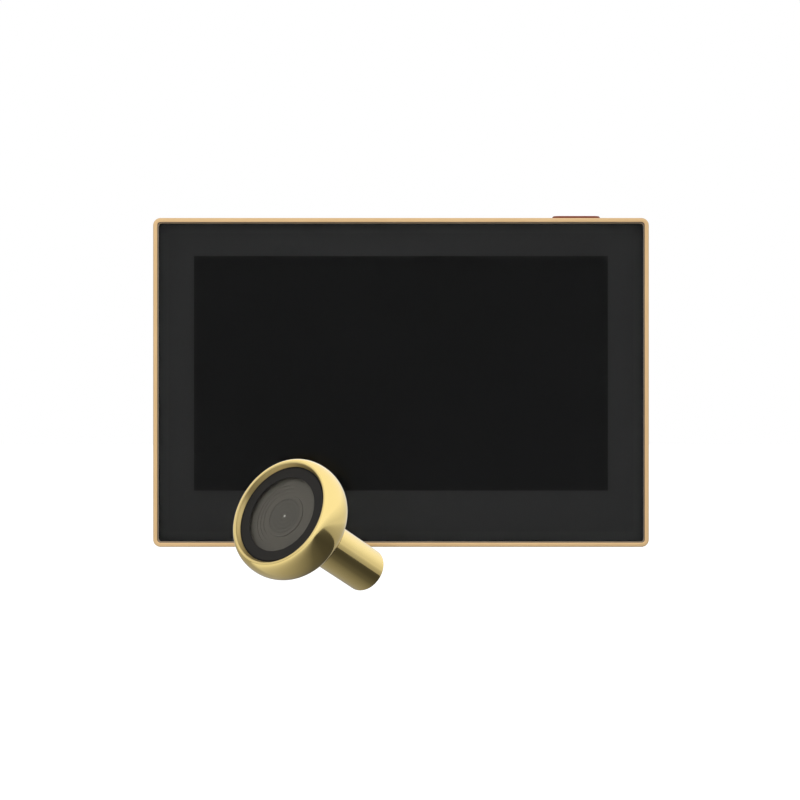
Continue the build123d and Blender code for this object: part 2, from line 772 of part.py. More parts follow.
# Ribbon sockets on the board
screen_socket_z = board_bottom + screen_socket_inset + screen_socket_height / 2
screen_slot_z = screen_socket_z - screen_socket_height / 2
with BuildPart() as screen_socket:
    with BuildSketch(facing_at(0, board_front_y, screen_socket_z)):
        Rectangle(screen_socket_width, screen_socket_height)
    extrude(amount=screen_socket_depth)
    with BuildSketch(facing_at(0, board_front_y + screen_ribbon_thick, screen_slot_z)):
        Rectangle(screen_ribbon_width, screen_socket_height)
    extrude(amount=3 * screen_ribbon_thick, mode=Mode.SUBTRACT)
screen_socket.part.label = "screen_socket"
export_step(screen_socket.part, "parts/screen_socket.step")

with BuildPart() as camera_socket:
    with BuildSketch(facing_at(0, board_back_y + ribbon_socket_depth, ribbon_socket_z)):
        Rectangle(ribbon_socket_width, ribbon_socket_height)
    extrude(amount=ribbon_socket_depth)
    with BuildSketch(facing_at(0, board_back_y + ribbon_socket_depth, ribbon_socket_z)):
        Rectangle(ribbon_slot_width, ribbon_slot_thick)
    extrude(amount=ribbon_socket_depth * 3 / 4, mode=Mode.SUBTRACT)
camera_socket.part.label = "camera_socket"
export_step(camera_socket.part, "parts/camera_socket.step")

# Screen ribbon: from the panel's lower edge, round a bend, and up into its socket
ribbon_start_y = (panel_front_y + panel_back_y) / 2
ribbon_end_y = board_front_y - screen_ribbon_thick
ribbon_bend_z = panel_z - panel_height / 2 - screen_ribbon_drop
with BuildPart() as screen_ribbon:
    with BuildSketch(Plane.YZ.offset(-screen_ribbon_width / 2)):
        with BuildLine() as ribbon_path:
            FilletPolyline(
                (ribbon_start_y, panel_z - panel_height / 2),
                (ribbon_start_y, ribbon_bend_z),
                (ribbon_end_y, ribbon_bend_z),
                (ribbon_end_y, screen_socket_z - screen_socket_height / 4),
                radius=screen_ribbon_drop * 3 / 4,
            )
        trace(line_width=screen_ribbon_thick)
    extrude(amount=screen_ribbon_width)
screen_ribbon.part.label = "screen_ribbon"
export_step(screen_ribbon.part, "parts/screen_ribbon.step")

# Power button: a rounded cap, a flange that stops it under the frame, and a stem
flange_top = inner_height / 2 - slide_gap / 2
switch_top = board_top + switch_overhang
plunger_top = switch_top + plunger_rise
stem_back_y = board_front_y - stem_off_board
stem_depth = stem_back_y - (button_y - stem_lap)
with BuildPart() as power_button:
    with BuildSketch(level_at(button_x, button_y, flange_top)):
        SlotOverall(button_length, button_depth)
    extrude(amount=body_height / 2 + button_rise - flange_top)
    cap_rim = power_button.faces().sort_by(Axis.Z)[-1].edges()
    fillet(cap_rim, radius=button_edge)
    with BuildSketch(level_at(button_x, button_y, flange_top - button_flange_thick)):
        SlotOverall(button_length + 2 * button_flange_reach, button_depth + button_flange_reach / 2)
    extrude(amount=button_flange_thick)
    with BuildSketch(level_at(button_x, stem_back_y - stem_depth / 2, plunger_top)):
        Rectangle(stem_width, stem_depth)
    extrude(amount=flange_top - button_flange_thick - plunger_top)
power_button.part.label = "power_button"
export_step(power_button.part, "parts/power_button.step")

# Push switch on the board's top edge, and its plunger
switch_y = board_front_y - switch_depth / 2
with BuildPart() as power_switch:
    with BuildSketch(level_at(button_x, switch_y, switch_top - switch_height)):
        Rectangle(switch_width, switch_depth)
    extrude(amount=switch_height)
    with BuildSketch(level_at(button_x, switch_y, switch_top)):
        Rectangle(plunger_width + 2 * slide_gap, plunger_depth + 2 * slide_gap)
    extrude(amount=-(button_travel + plunger_seat + free_gap), mode=Mode.SUBTRACT)
power_switch.part.label = "power_switch"
export_step(power_switch.part, "parts/power_switch.step")

with BuildPart() as switch_plunger:
    with BuildSketch(level_at(button_x, switch_y, switch_top - plunger_seat)):
        Rectangle(plunger_width, plunger_depth)
    extrude(amount=plunger_rise + plunger_seat)
switch_plunger.part.label = "switch_plunger"
export_step(switch_plunger.part, "parts/switch_plunger.step")

# Charging socket: a folded metal shell round a tongue
usb_mouth_z = -cavity_height / 2 + usb_setback
with BuildPart() as charging_socket:
    with BuildSketch(level_at(usb_x, usb_y, usb_mouth_z)):
        RectangleRounded(usb_width, usb_depth, usb_port_corner)
    extrude(amount=usb_length)
    with BuildSketch(level_at(usb_x, usb_y, usb_mouth_z)):
        RectangleRounded(usb_width - 2 * usb_wall, usb_depth - 2 * usb_wall, usb_port_corner - usb_wall)
    extrude(amount=usb_length - usb_wall, mode=Mode.SUBTRACT)
    with BuildSketch(level_at(usb_x, usb_y, usb_mouth_z + usb_tongue_setback)):
        Rectangle(usb_tongue_width, usb_tongue_thick)
    extrude(amount=usb_length - usb_tongue_setback)
charging_socket.part.label = "charging_socket"
export_step(charging_socket.part, "parts/charging_socket.step")

# Memory card socket: a flat can with its slot in the cover's side
card_socket_right = cavity_width / 2 - usb_setback
card_socket_x = card_socket_right - card_socket_width / 2
with BuildPart() as card_socket:
    with BuildSketch(facing_at(card_socket_x, board_back_y + card_socket_depth, card_socket_z)):
        Rectangle(card_socket_width, card_socket_height)
    extrude(amount=card_socket_depth)
    with BuildSketch(edge_on(card_socket_right, card_y, card_socket_z)):
        Rectangle(card_slot_height, card_slot_thick)
    extrude(amount=-(card_socket_width - 4 * card_wall), mode=Mode.SUBTRACT)
card_socket.part.label = "card_socket"
export_step(card_socket.part, "parts/card_socket.step")

# Microphone over its hole in the lower edge
microphone_z = board_tab_bottom + microphone_height / 2
with BuildPart() as microphone:
    with BuildSketch(facing_at(microphone_x, board_back_y + microphone_depth, microphone_z)):
        Rectangle(microphone_width, microphone_height)
    extrude(amount=microphone_depth)
microphone.part.label = "microphone"
export_step(microphone.part, "parts/microphone.step")

# Speaker: an oval case with a dished cone, on a foam gasket behind its slots
speaker_back_y = back_inner_y - speaker_gasket_thick
with BuildPart() as speaker:
    with BuildSketch(facing_at(bay_x, speaker_back_y, speaker_z)):
        RectangleRounded(speaker_width, speaker_height, speaker_corner)
    extrude(amount=speaker_depth)
    with BuildSketch(facing_at(bay_x, speaker_back_y, speaker_z)):
        RectangleRounded(
            speaker_width - 2 * speaker_rim,
            speaker_height - 2 * speaker_rim,
            speaker_corner - speaker_rim,
        )
    extrude(amount=speaker_cone_depth, taper=speaker_cone_taper, mode=Mode.SUBTRACT)
speaker.part.label = "speaker"
export_step(speaker.part, "parts/speaker.step")

with BuildPart() as speaker_gasket:
    with BuildSketch(facing_at(bay_x, back_inner_y, speaker_z)):
        RectangleRounded(speaker_width, speaker_height, speaker_corner)
        RectangleRounded(
            speaker_width - 2 * speaker_rim,
            speaker_height - 2 * speaker_rim,
            speaker_corner - speaker_rim,
            mode=Mode.SUBTRACT,
        )
    extrude(amount=speaker_gasket_thick)
speaker_gasket.part.label = "speaker_gasket"
export_step(speaker_gasket.part, "parts/speaker_gasket.step")

# Battery: a flat pouch with its folded top, taped to the back of the cover
battery_back_y = back_inner_y - battery_tape_thick
with BuildPart() as battery:
    with BuildSketch(facing_at(-bay_x, battery_back_y, 0)):
        Rectangle(battery_width, battery_height)
    extrude(amount=battery_depth)
    fillet(battery.edges().filter_by(Axis.Z), radius=battery_corner)
    with BuildSketch(level_at(-bay_x, battery_back_y - battery_depth / 2, battery_height / 2)):
        Rectangle(battery_width - 2 * battery_cap_inset, battery_depth - 2 * battery_cap_inset)
    extrude(amount=battery_cap_height)
battery.part.label = "battery"
export_step(battery.part, "parts/battery.step")

with BuildPart() as battery_tape:
    with BuildSketch(facing_at(-bay_x, back_inner_y, 0)):
        Rectangle(
            battery_width - 2 * (battery_corner + battery_tape_margin),
            battery_height - 2 * battery_tape_margin,
        )
    extrude(amount=battery_tape_thick)
battery_tape.part.label = "battery_tape"
export_step(battery_tape.part, "parts/battery_tape.step")

# Socket for the battery's plug, on the board, open at the top
battery_socket_x = board_left + battery_socket_side_inset + battery_socket_width / 2
battery_socket_z = board_top - battery_socket_top_inset - battery_socket_height / 2
battery_socket_top = battery_socket_z + battery_socket_height / 2
battery_socket_y = board_front_y - battery_socket_depth / 2
with BuildPart() as battery_socket:
    with BuildSketch(facing_at(battery_socket_x, board_front_y, battery_socket_z)):
        Rectangle(battery_socket_width, battery_socket_height)
    extrude(amount=battery_socket_depth)
    with BuildSketch(level_at(battery_socket_x, battery_socket_y, battery_socket_top)):
        Rectangle(
            battery_socket_width - 2 * battery_socket_wall,
            battery_socket_depth - 2 * battery_socket_wall,
        )
    extrude(amount=-(battery_socket_height - battery_socket_wall), mode=Mode.SUBTRACT)
battery_socket.part.label = "battery_socket"
export_step(battery_socket.part, "parts/battery_socket.step")

# Door bracket: a plate folded into a rail up each side, with a tab for the lock screw
plate_height = bracket_top - bracket_bottom
plate_mid = bracket_thick / 2
rail_mid_x = bracket_width / 2 - plate_mid
lip_mid_y = plate_mid - rail_stand
rail_tip_x = bracket_width / 2 + rail_reach
with BuildPart() as door_bracket:
    with BuildSketch(level_at(0, 0, bracket_bottom)):
        with BuildLine():
            FilletPolyline(
                (-rail_tip_x, lip_mid_y),
                (-rail_mid_x, lip_mid_y),
                (-rail_mid_x, -plate_mid),
                (rail_mid_x, -plate_mid),
                (rail_mid_x, lip_mid_y),
                (rail_tip_x, lip_mid_y),
                radius=rail_bend + plate_mid,
            )
        trace(line_width=bracket_thick)
    extrude(amount=plate_height)
    # Relief cut from each corner, so that the rails end short of the plate
    with BuildSketch(facing_at(0, overrun, (bracket_top + bracket_bottom) / 2)):
        with GridLocations(2 * rail_tip_x, plate_height, 2, 2):
            Rectangle(2 * (rail_tip_x - rail_mid_x + rail_relief), 2 * rail_end_inset)
    extrude(amount=rail_stand + 2 * overrun, mode=Mode.SUBTRACT)
    # Tab folded forward at the bottom
    with BuildSketch(level_at(lock_x, 0, bracket_bottom - bracket_thick)):
        with Locations((0, (slot_floor_y + lock_tab_gap) / 2)):
            Rectangle(lock_tab_width, -(slot_floor_y + lock_tab_gap))
        with Locations((0, lock_y)):
            Circle(lock_radius + thread_gap, mode=Mode.SUBTRACT)
    extrude(amount=bracket_thick)
    # Holes: four screws into the door, the clamp bolt, and two windows that save weight
    with BuildSketch(facing(overrun)):
        with GridLocations(door_screw_width, door_screw_height, 2, 2):
            Circle(door_screw_radius)
        Circle(bolt_shoulder_radius + free_gap)
        with GridLocations(bracket_width - 2 * bracket_window_inset, 0, 2, 1):
            SlotOverall(bracket_window_height, bracket_window_width, rotation=90)
    extrude(amount=bracket_thick + 2 * overrun, mode=Mode.SUBTRACT)
    with Locations(facing(-bracket_thick)):
        with GridLocations(door_screw_width, door_screw_height, 2, 2):
            CounterSinkHole(door_screw_radius, door_screw_sink_radius, depth=bracket_thick)
door_bracket.part.label = "door_bracket"
export_step(door_bracket.part, "parts/door_bracket.step")

# Clamp bolt: a hollow screw whose bore lets the camera's ribbon through
bolt_flange_y = -bracket_thick
with BuildPart() as clamp_bolt:
    with BuildSketch(facing(bolt_flange_y)):
        Circle(bolt_flange_radius)
    extrude(amount=bolt_flange_thick)
    flange_rim = clamp_bolt.edges().sort_by(Axis.Y)[0]
    fillet(flange_rim, radius=bolt_chamfer)
    with BuildSketch(facing(0)):
        Circle(bolt_shoulder_radius)
    extrude(amount=-bolt_flange_y)
    with BuildSketch(facing(bolt_reach)):
        Circle(bolt_radius)
    extrude(amount=bolt_reach)
    shank_end = clamp_bolt.edges().sort_by(Axis.Y)[-1]
    chamfer(shank_end, length=bolt_chamfer)
    with BuildSketch(facing(bolt_reach + overrun)):
        Circle(bolt_bore_radius)
    extrude(amount=bolt_reach - bolt_flange_y + bolt_flange_thick + 2 * overrun, mode=Mode.SUBTRACT)
    with BuildSketch(facing(bolt_flange_y - bolt_flange_thick)):
        Rectangle(2 * (bolt_flange_radius + overrun), bolt_slot_width)
    extrude(amount=-bolt_slot_depth, mode=Mode.SUBTRACT)
clamp_bolt.part.label = "clamp_bolt"
export_step(clamp_bolt.part, "parts/clamp_bolt.step")

# Lock screw: it turns in the bracket's tab and enters the boss on the rear cover
lock_seat_z = bracket_bottom - bracket_thick
with BuildPart() as lock_screw:
    with BuildSketch(level_at(lock_x, lock_y, lock_seat_z - lock_head_height)):
        Circle(lock_head_radius)
    extrude(amount=lock_head_height)
    lock_rim = lock_screw.edges().sort_by(Axis.Z)[0]
    fillet(lock_rim, radius=lock_head_height / 5)
    with BuildSketch(level_at(lock_x, lock_y, lock_seat_z)):
        Circle(lock_radius)
    extrude(amount=bracket_thick + lock_grip)
    with BuildSketch(level_at(lock_x, lock_y, lock_seat_z - lock_head_height)):
        RegularPolygon(lock_driver_width / 2, 6, major_radius=False)
    extrude(amount=lock_driver_depth, mode=Mode.SUBTRACT)
lock_screw.part.label = "lock_screw"
export_step(lock_screw.part, "parts/lock_screw.step")

# Camera head: a turned shell whose rim stands in front of the window
crest_radius = head_radius - crest_inset
head_back_radius = head_radius - head_back_inset
window_radius = crest_radius - window_rim
seat_radius = window_radius + window_seal_width
shoulder_radius = seat_radius - head_shoulder_width
ring_seat_radius = shoulder_radius - head_seat_width
shoulder_depth = window_thick + mask_thick
belly_reach = (head_radius - head_back_radius) / (1 - cos(radians(head_belly_angle)))
flange_depth = head_cavity_depth
with BuildPart() as head_shell:
    with BuildSketch(camera_section):
        with BuildLine():
            Line((barrel_collar_radius, head_back), (head_back_radius, head_back))
            EllipticalCenterArc(
                (head_radius - belly_reach, head_widest),
                belly_reach,
                (head_back - head_widest) / sin(radians(head_belly_angle)),
                start_angle=0,
                arc_size=head_belly_angle,
            )
            EllipticalCenterArc(
                (crest_radius, head_widest),
                head_radius - crest_radius,
                head_widest + crest_height,
                start_angle=-90,
                arc_size=90,
            )
            CenterArc((crest_radius, crest_round - crest_height), crest_round, 180, 90)
            Polyline(
                (crest_radius - crest_round, crest_round - crest_height),
                (seat_radius, 0),
                (seat_radius, shoulder_depth),
                (shoulder_radius, shoulder_depth),
                (shoulder_radius, head_seat_depth),
                (ring_seat_radius, head_seat_depth),
                (ring_seat_radius, head_cavity_depth),
                (barrel_flange_radius, head_cavity_depth),
                (barrel_flange_radius, flange_depth + barrel_flange_thick),
                (barrel_collar_radius, flange_depth + barrel_flange_thick),
                (barrel_collar_radius, head_back),
            )
        make_face()
    revolve(axis=camera_axis)
head_shell.part.label = "head_shell"
export_step(head_shell.part, "parts/head_shell.step")


def turned(outline):
    """A piece turned about the camera's axis, from points of radius and depth."""
    with BuildPart() as piece:
        with BuildSketch(camera_section):
            with BuildLine():
                Polyline(*outline, close=True)
            make_face()
        revolve(axis=camera_axis)
    return piece


def turned_ring(inner, outer, start, thick):
    """A flat ring about the camera's axis, which starts at a depth behind the window's front."""
    with BuildPart() as piece:
        with BuildSketch(across(start)):
            Circle(outer)
            if inner > 0:
                Circle(inner, mode=Mode.SUBTRACT)
        extrude(amount=thick)
    return piece


# Front window, its black ring and the seal round it
front_window = turned([
    (0, 0),
    (window_radius - window_edge, 0),
    (window_radius, window_edge),
    (window_radius, window_thick),
    (0, window_thick),
])
front_window.part.label = "front_window"
export_step(front_window.part, "parts/front_window.step")

window_mask = turned_ring(window_radius - mask_ring_width, window_radius, window_thick, mask_thick)
window_mask.part.label = "window_mask"
export_step(window_mask.part, "parts/window_mask.step")

window_seal = turned_ring(
    window_radius, seat_radius, window_seal_drop, shoulder_depth - window_seal_drop
)
window_seal.part.label = "window_seal"
export_step(window_seal.part, "parts/window_seal.step")

# Stepped baffle, pressed into the head behind the window
baffle_front = shoulder_depth + baffle_drop
baffle_bore = lens_flange_radius + slide_gap / 2
baffle_outline = [
    (shoulder_radius, baffle_front),
    (shoulder_radius, baffle_front + baffle_thick),
    (baffle_bore, baffle_front + baffle_thick),
]
for step in range(baffle_steps, 0, -1):
    step_radius = baffle_bore + (baffle_steps - step) * baffle_step_width
    baffle_outline.append((step_radius, baffle_front + step * baffle_step_drop))
    baffle_outline.append((step_radius + baffle_step_width, baffle_front + step * baffle_step_drop))
baffle_outline.append((baffle_bore + baffle_steps * baffle_step_width, baffle_front))
lens_baffle = turned(baffle_outline)
lens_baffle.part.label = "lens_baffle"
export_step(lens_baffle.part, "parts/lens_baffle.step")

# Sensor board on its seat, held by a threaded ring with two notches
board_start = head_seat_depth - sensor_board_thick
sensor_board = turned_ring(0, shoulder_radius - sensor_board_gap, board_start, sensor_board_thick)
sensor_board.part.label = "sensor_board"
export_step(sensor_board.part, "parts/sensor_board.step")

with BuildPart() as board_ring:
    with BuildSketch(across(board_start - board_ring_thick)):
        Circle(shoulder_radius)
        Circle(shoulder_radius - board_ring_width, mode=Mode.SUBTRACT)
        Rectangle(2 * shoulder_radius, ring_notch_width, mode=Mode.SUBTRACT)
    extrude(amount=board_ring_thick / 2)
    with BuildSketch(across(board_start - board_ring_thick / 2)):
        Circle(shoulder_radius)
        Circle(shoulder_radius - board_ring_width, mode=Mode.SUBTRACT)
    extrude(amount=board_ring_thick / 2)
board_ring.part.label = "board_ring"
export_step(board_ring.part, "parts/board_ring.step")

# Image sensor, infrared filter and their holder
with BuildPart() as image_sensor:
    with BuildSketch(across(board_start - sensor_thick)):
        Rectangle(sensor_size, sensor_size)
    extrude(amount=sensor_thick)
image_sensor.part.label = "image_sensor"
export_step(image_sensor.part, "parts/image_sensor.step")

holder_start = board_start - holder_height
filter_start = holder_start + holder_roof
with BuildPart() as lens_holder:
    with BuildSketch(across(holder_start)):
        RectangleRounded(holder_size, holder_size, holder_wall)
    extrude(amount=holder_height)
    with BuildSketch(across(holder_start)):
        Circle(lens_spigot_radius)
    extrude(amount=holder_roof, mode=Mode.SUBTRACT)
    with BuildSketch(across(filter_start)):
        Rectangle(holder_size - 2 * holder_wall, holder_size - 2 * holder_wall)
    extrude(amount=holder_height - holder_roof, mode=Mode.SUBTRACT)
lens_holder.part.label = "lens_holder"
export_step(lens_holder.part, "parts/lens_holder.step")

with BuildPart() as infrared_filter:
    with BuildSketch(across(filter_start)):
        Rectangle(holder_size - 2 * holder_wall, filter_size)
    extrude(amount=filter_thick)
infrared_filter.part.label = "infrared_filter"
export_step(infrared_filter.part, "parts/infrared_filter.step")

# Lens barrel: a flange in the baffle's bore, a tube, and a spigot in the holder
flange_front = baffle_front + lens_flange_drop
tube_end = holder_start
front_seat = flange_front + front_lens_crown
front_seat_end = front_seat + front_lens_edge
middle_seat = front_seat_end + lens_spacer
middle_seat_end = middle_seat + middle_lens_edge
rear_seat = middle_seat_end + lens_spacer / 2
rear_seat_end = rear_seat + rear_lens_edge
lens_barrel = turned([
    (lens_flange_radius, flange_front),
    (lens_flange_radius, flange_front + lens_flange_thick),
    (lens_tube_radius, flange_front + lens_flange_thick),
    (lens_tube_radius, tube_end),
    (lens_spigot_radius, tube_end),
    (lens_spigot_radius, tube_end + lens_spigot_length),
    (rear_lens_radius - lens_seat_width, tube_end + lens_spigot_length),
    (rear_lens_radius - lens_seat_width, rear_seat_end),
    (rear_lens_radius, rear_seat_end),
    (rear_lens_radius, middle_seat_end),
    (middle_lens_radius, middle_seat_end),
    (middle_lens_radius, front_seat_end),
    (front_lens_radius, front_seat_end),
    (front_lens_radius, flange_front),
])
lens_barrel.part.label = "lens_barrel"
export_step(lens_barrel.part, "parts/lens_barrel.step")


# Lenses: an edge of plain thickness with a crown in front, and a hollow or a crown behind
def lens(radius, start, edge, front_crown, back_crown):
    """A round lens whose edge starts at a depth. A negative back crown is a hollow."""
    with BuildPart() as piece:
        with BuildSketch(camera_section):
            with BuildLine():
                Line((0, start - front_crown), (0, start + edge + back_crown))
                TangentArc((0, start + edge + back_crown), (radius, start + edge), tangent=(1, 0))
                Line((radius, start + edge), (radius, start))
                TangentArc((0, start - front_crown), (radius, start), tangent=(1, 0))
            make_face()
        revolve(axis=camera_axis)
    return piece


front_lens = lens(front_lens_radius, front_seat, front_lens_edge, front_lens_crown, -front_lens_edge / 2)
front_lens.part.label = "front_lens"
export_step(front_lens.part, "parts/front_lens.step")

middle_lens = lens(
    middle_lens_radius, middle_seat, middle_lens_edge, middle_lens_crown, -middle_lens_edge / 3
)
middle_lens.part.label = "middle_lens"
export_step(middle_lens.part, "parts/middle_lens.step")

rear_lens = lens(rear_lens_radius, rear_seat, rear_lens_edge, rear_lens_crown, -rear_lens_edge / 4)
rear_lens.part.label = "rear_lens"
export_step(rear_lens.part, "parts/rear_lens.step")

# Ribbon socket on the back of the sensor board
with BuildPart() as unit_socket:
    with BuildSketch(across(head_seat_depth)):
        Rectangle(unit_socket_width, unit_socket_height)
    extrude(amount=unit_socket_depth)
    with BuildSketch(across(head_seat_depth + unit_socket_depth)):
        Rectangle(unit_socket_width - 2 * unit_socket_depth, unit_socket_height / 4)
    extrude(amount=-unit_socket_depth / 2, mode=Mode.SUBTRACT)
unit_socket.part.label = "unit_socket"
export_step(unit_socket.part, "parts/unit_socket.step")

# Gasket behind the head, and the threaded barrel that goes through the door
back_gasket = turned_ring(
    barrel_collar_radius, head_back_radius - gasket_back_inset, head_back, gasket_back_thick
)
back_gasket.part.label = "back_gasket"
export_step(back_gasket.part, "parts/back_gasket.step")

with BuildPart() as barrel:
    with BuildSketch(across(flange_depth)):
        Circle(barrel_flange_radius)
    extrude(amount=barrel_flange_thick)
    with BuildSketch(across(flange_depth)):
        Circle(barrel_collar_radius)
    extrude(amount=head_back + gasket_back_thick - flange_depth)
    with BuildSketch(across(flange_depth)):
        Circle(barrel_radius)
    extrude(amount=barrel_end - flange_depth)
    end_rim = barrel.edges().sort_by(camera_axis)[-1]
    fillet(end_rim, radius=barrel_edge)
    with BuildSketch(across(flange_depth)):
        Circle(barrel_duct_radius)
    extrude(amount=barrel_end - flange_depth, mode=Mode.SUBTRACT)
    with BuildSketch(across(barrel_thread_start)):
        Circle(barrel_bore_radius)
    extrude(amount=barrel_end - barrel_thread_start, mode=Mode.SUBTRACT)
    round_edges = barrel.edges().filter_by(GeomType.CIRCLE)
    bore_rims = round_edges.filter_by(lambda e: e.radius < barrel_radius - barrel_edge)
    chamfer(bore_rims.sort_by(camera_axis)[-1], length=barrel_bore_chamfer)
barrel.part.label = "barrel"
export_step(barrel.part, "parts/barrel.step")
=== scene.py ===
import bmesh
import bpy
import json
from math import cos, pi, sin
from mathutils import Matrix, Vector


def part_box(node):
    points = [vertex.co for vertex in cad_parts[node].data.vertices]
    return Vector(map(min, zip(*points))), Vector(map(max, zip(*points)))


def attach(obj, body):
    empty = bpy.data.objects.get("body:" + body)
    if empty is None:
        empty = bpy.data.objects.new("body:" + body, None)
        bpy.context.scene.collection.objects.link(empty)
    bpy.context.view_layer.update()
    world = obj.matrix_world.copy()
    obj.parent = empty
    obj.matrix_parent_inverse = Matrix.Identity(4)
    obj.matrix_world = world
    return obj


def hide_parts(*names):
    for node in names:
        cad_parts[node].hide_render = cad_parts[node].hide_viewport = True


# A peephole door camera: the monitor on its door bracket, and the camera unit in front of it.
# Lengths are in metres, and mm turns millimetres into them.

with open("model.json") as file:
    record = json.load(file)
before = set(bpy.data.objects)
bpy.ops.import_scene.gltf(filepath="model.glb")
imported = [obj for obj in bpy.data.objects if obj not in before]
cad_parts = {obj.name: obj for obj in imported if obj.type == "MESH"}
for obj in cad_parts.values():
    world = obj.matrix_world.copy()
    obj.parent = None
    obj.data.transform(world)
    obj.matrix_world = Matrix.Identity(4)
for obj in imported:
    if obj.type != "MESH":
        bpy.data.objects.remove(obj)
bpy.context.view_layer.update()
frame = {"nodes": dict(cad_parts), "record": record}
mm = 0.001
nodes = frame["nodes"]
mounts = {row["name"]: row for row in frame["record"]["mounts"]}

# The camera unit's own axis, from the middle of its window back along its barrel
barrel_mount = mounts["barrel_outside"]
unit_axis = Vector(barrel_mount["axis"]).normalized()
mount_depth = 20.0 * mm
unit_centre = Vector(barrel_mount["pos_m"]) - unit_axis * mount_depth


def radius_about_unit(point):
    """How far a point lies from the camera unit's axis."""
    offset = point - unit_centre
    return (offset - unit_axis * offset.dot(unit_axis)).length


def depth_along_unit(point):
    """How far back a point lies from the middle of the window's front."""
    return (point - unit_centre).dot(unit_axis)


# The head's crest is the ring of its mesh that lies farthest forward
head_points = [vertex.co for vertex in nodes["head_shell"].data.vertices]
crest_depth = min(depth_along_unit(point) for point in head_points)
crest_band = 0.05 * mm
crest_radius = max(radius_about_unit(point) for point in head_points
                   if depth_along_unit(point) < crest_depth + crest_band)

# Where the photograph was taken from
eye = Vector((-0.27 * mm, -612.0 * mm, -4.7 * mm))
lens_length = 100.0
sensor_width = 36.0

# The room
floor_height = -0.26
floor_glow = 0.55
room_size = 12.0


# Shader node groups, each built once and placed in many materials
def group_socket(group, name, kind, inward, value=None):
    """Adds one named input or output to a node group."""
    side = "INPUT" if inward else "OUTPUT"
    socket = group.interface.new_socket(name=name, in_out=side, socket_type=kind)
    if value is not None:
        socket.default_value = value
    return socket


def start_group(name, inputs, outputs):
    """A new shader group with its input and output nodes."""
    group = bpy.data.node_groups.new(name, "ShaderNodeTree")
    for socket_name, kind, value in inputs:
        group_socket(group, socket_name, kind, True, value)
    for socket_name, kind in outputs:
        group_socket(group, socket_name, kind, False)
    return group, group.nodes.new("NodeGroupInput"), group.nodes.new("NodeGroupOutput")


def feed(tree, value, socket):
    """Sets a socket to a number, or links another socket to it."""
    if isinstance(value, (int, float)):
        socket.default_value = value
    else:
        tree.links.new(value, socket)


def math_node(tree, operation, first, second=None, third=None):
    """A Math node whose inputs are numbers or sockets."""
    node = tree.nodes.new("ShaderNodeMath")
    node.operation = operation
    for index, value in enumerate((first, second, third)):
        if value is not None:
            feed(tree, value, node.inputs[index])
    return node.outputs[0]


def vector_node(tree, operation, first, second=None, scale=None):
    """A Vector Math node whose inputs are sockets."""
    node = tree.nodes.new("ShaderNodeVectorMath")
    node.operation = operation
    tree.links.new(first, node.inputs[0])
    if second is not None:
        tree.links.new(second, node.inputs[1])
    if scale is not None:
        tree.links.new(scale, node.inputs["Scale"])
    return node


def noise_node(tree, vector, scale, detail=3.0, roughness=0.5):
    """A Noise texture with its scale as a number or a socket."""
    node = tree.nodes.new("ShaderNodeTexNoise")
    node.inputs["Detail"].default_value = detail
    node.inputs["Roughness"].default_value = roughness
    feed(tree, scale, node.inputs["Scale"])
    tree.links.new(vector, node.inputs["Vector"])
    return node.outputs[0]


def ramp(tree, value, low, high, out_low=0.0, out_high=1.0):
    """A Map Range node, clamped, from low..high to out_low..out_high."""
    node = tree.nodes.new("ShaderNodeMapRange")
    node.clamp = True
    tree.links.new(value, node.inputs["Value"])
    node.inputs["From Min"].default_value = low
    node.inputs["From Max"].default_value = high
    node.inputs["To Min"].default_value = out_low
    node.inputs["To Max"].default_value = out_high
    return node.outputs[0]


def build_grain_group():
    """Fine moulded or cast grain, and soft clouds over it: one mask for each."""
    group, inward, outward = start_group(
        "fine_grain",
        [("Vector", "NodeSocketVector", None), ("Grain Scale", "NodeSocketFloat", 4000.0),
         ("Cloud Scale", "NodeSocketFloat", 120.0)],
        [("Grain", "NodeSocketFloat"), ("Cloud", "NodeSocketFloat")],
    )
    fine = noise_node(group, inward.outputs["Vector"], inward.outputs["Grain Scale"], 2.0)
    cloud = noise_node(group, inward.outputs["Vector"], inward.outputs["Cloud Scale"], 4.0, 0.6)
    group.links.new(ramp(group, fine, 0.3, 0.7), outward.inputs["Grain"])
    group.links.new(ramp(group, cloud, 0.35, 0.65), outward.inputs["Cloud"])
    return group


def build_edge_group():
    """Where an edge is rubbed: a mask that follows sharp edges, broken up by noise."""
    group, inward, outward = start_group(
        "rubbed_edges",
        [("Vector", "NodeSocketVector", None), ("Width", "NodeSocketFloat", 0.2 * mm),
         ("Break Scale", "NodeSocketFloat", 900.0)],
        [("Mask", "NodeSocketFloat")],
    )
    bevel = group.nodes.new("ShaderNodeBevel")
    bevel.samples = 4
    group.links.new(inward.outputs["Width"], bevel.inputs["Radius"])
    plain = group.nodes.new("ShaderNodeNewGeometry")
    bend = vector_node(group, "DOT_PRODUCT", bevel.outputs[0], plain.outputs["Normal"])
    flat, sharp = 0.99, 0.75
    edge = ramp(group, bend.outputs["Value"], flat, sharp)
    broken = noise_node(group, inward.outputs["Vector"], inward.outputs["Break Scale"], 3.0)
    mask = math_node(group, "MULTIPLY", edge, ramp(group, broken, 0.35, 0.6))
    group.links.new(mask, outward.inputs["Mask"])
    return group


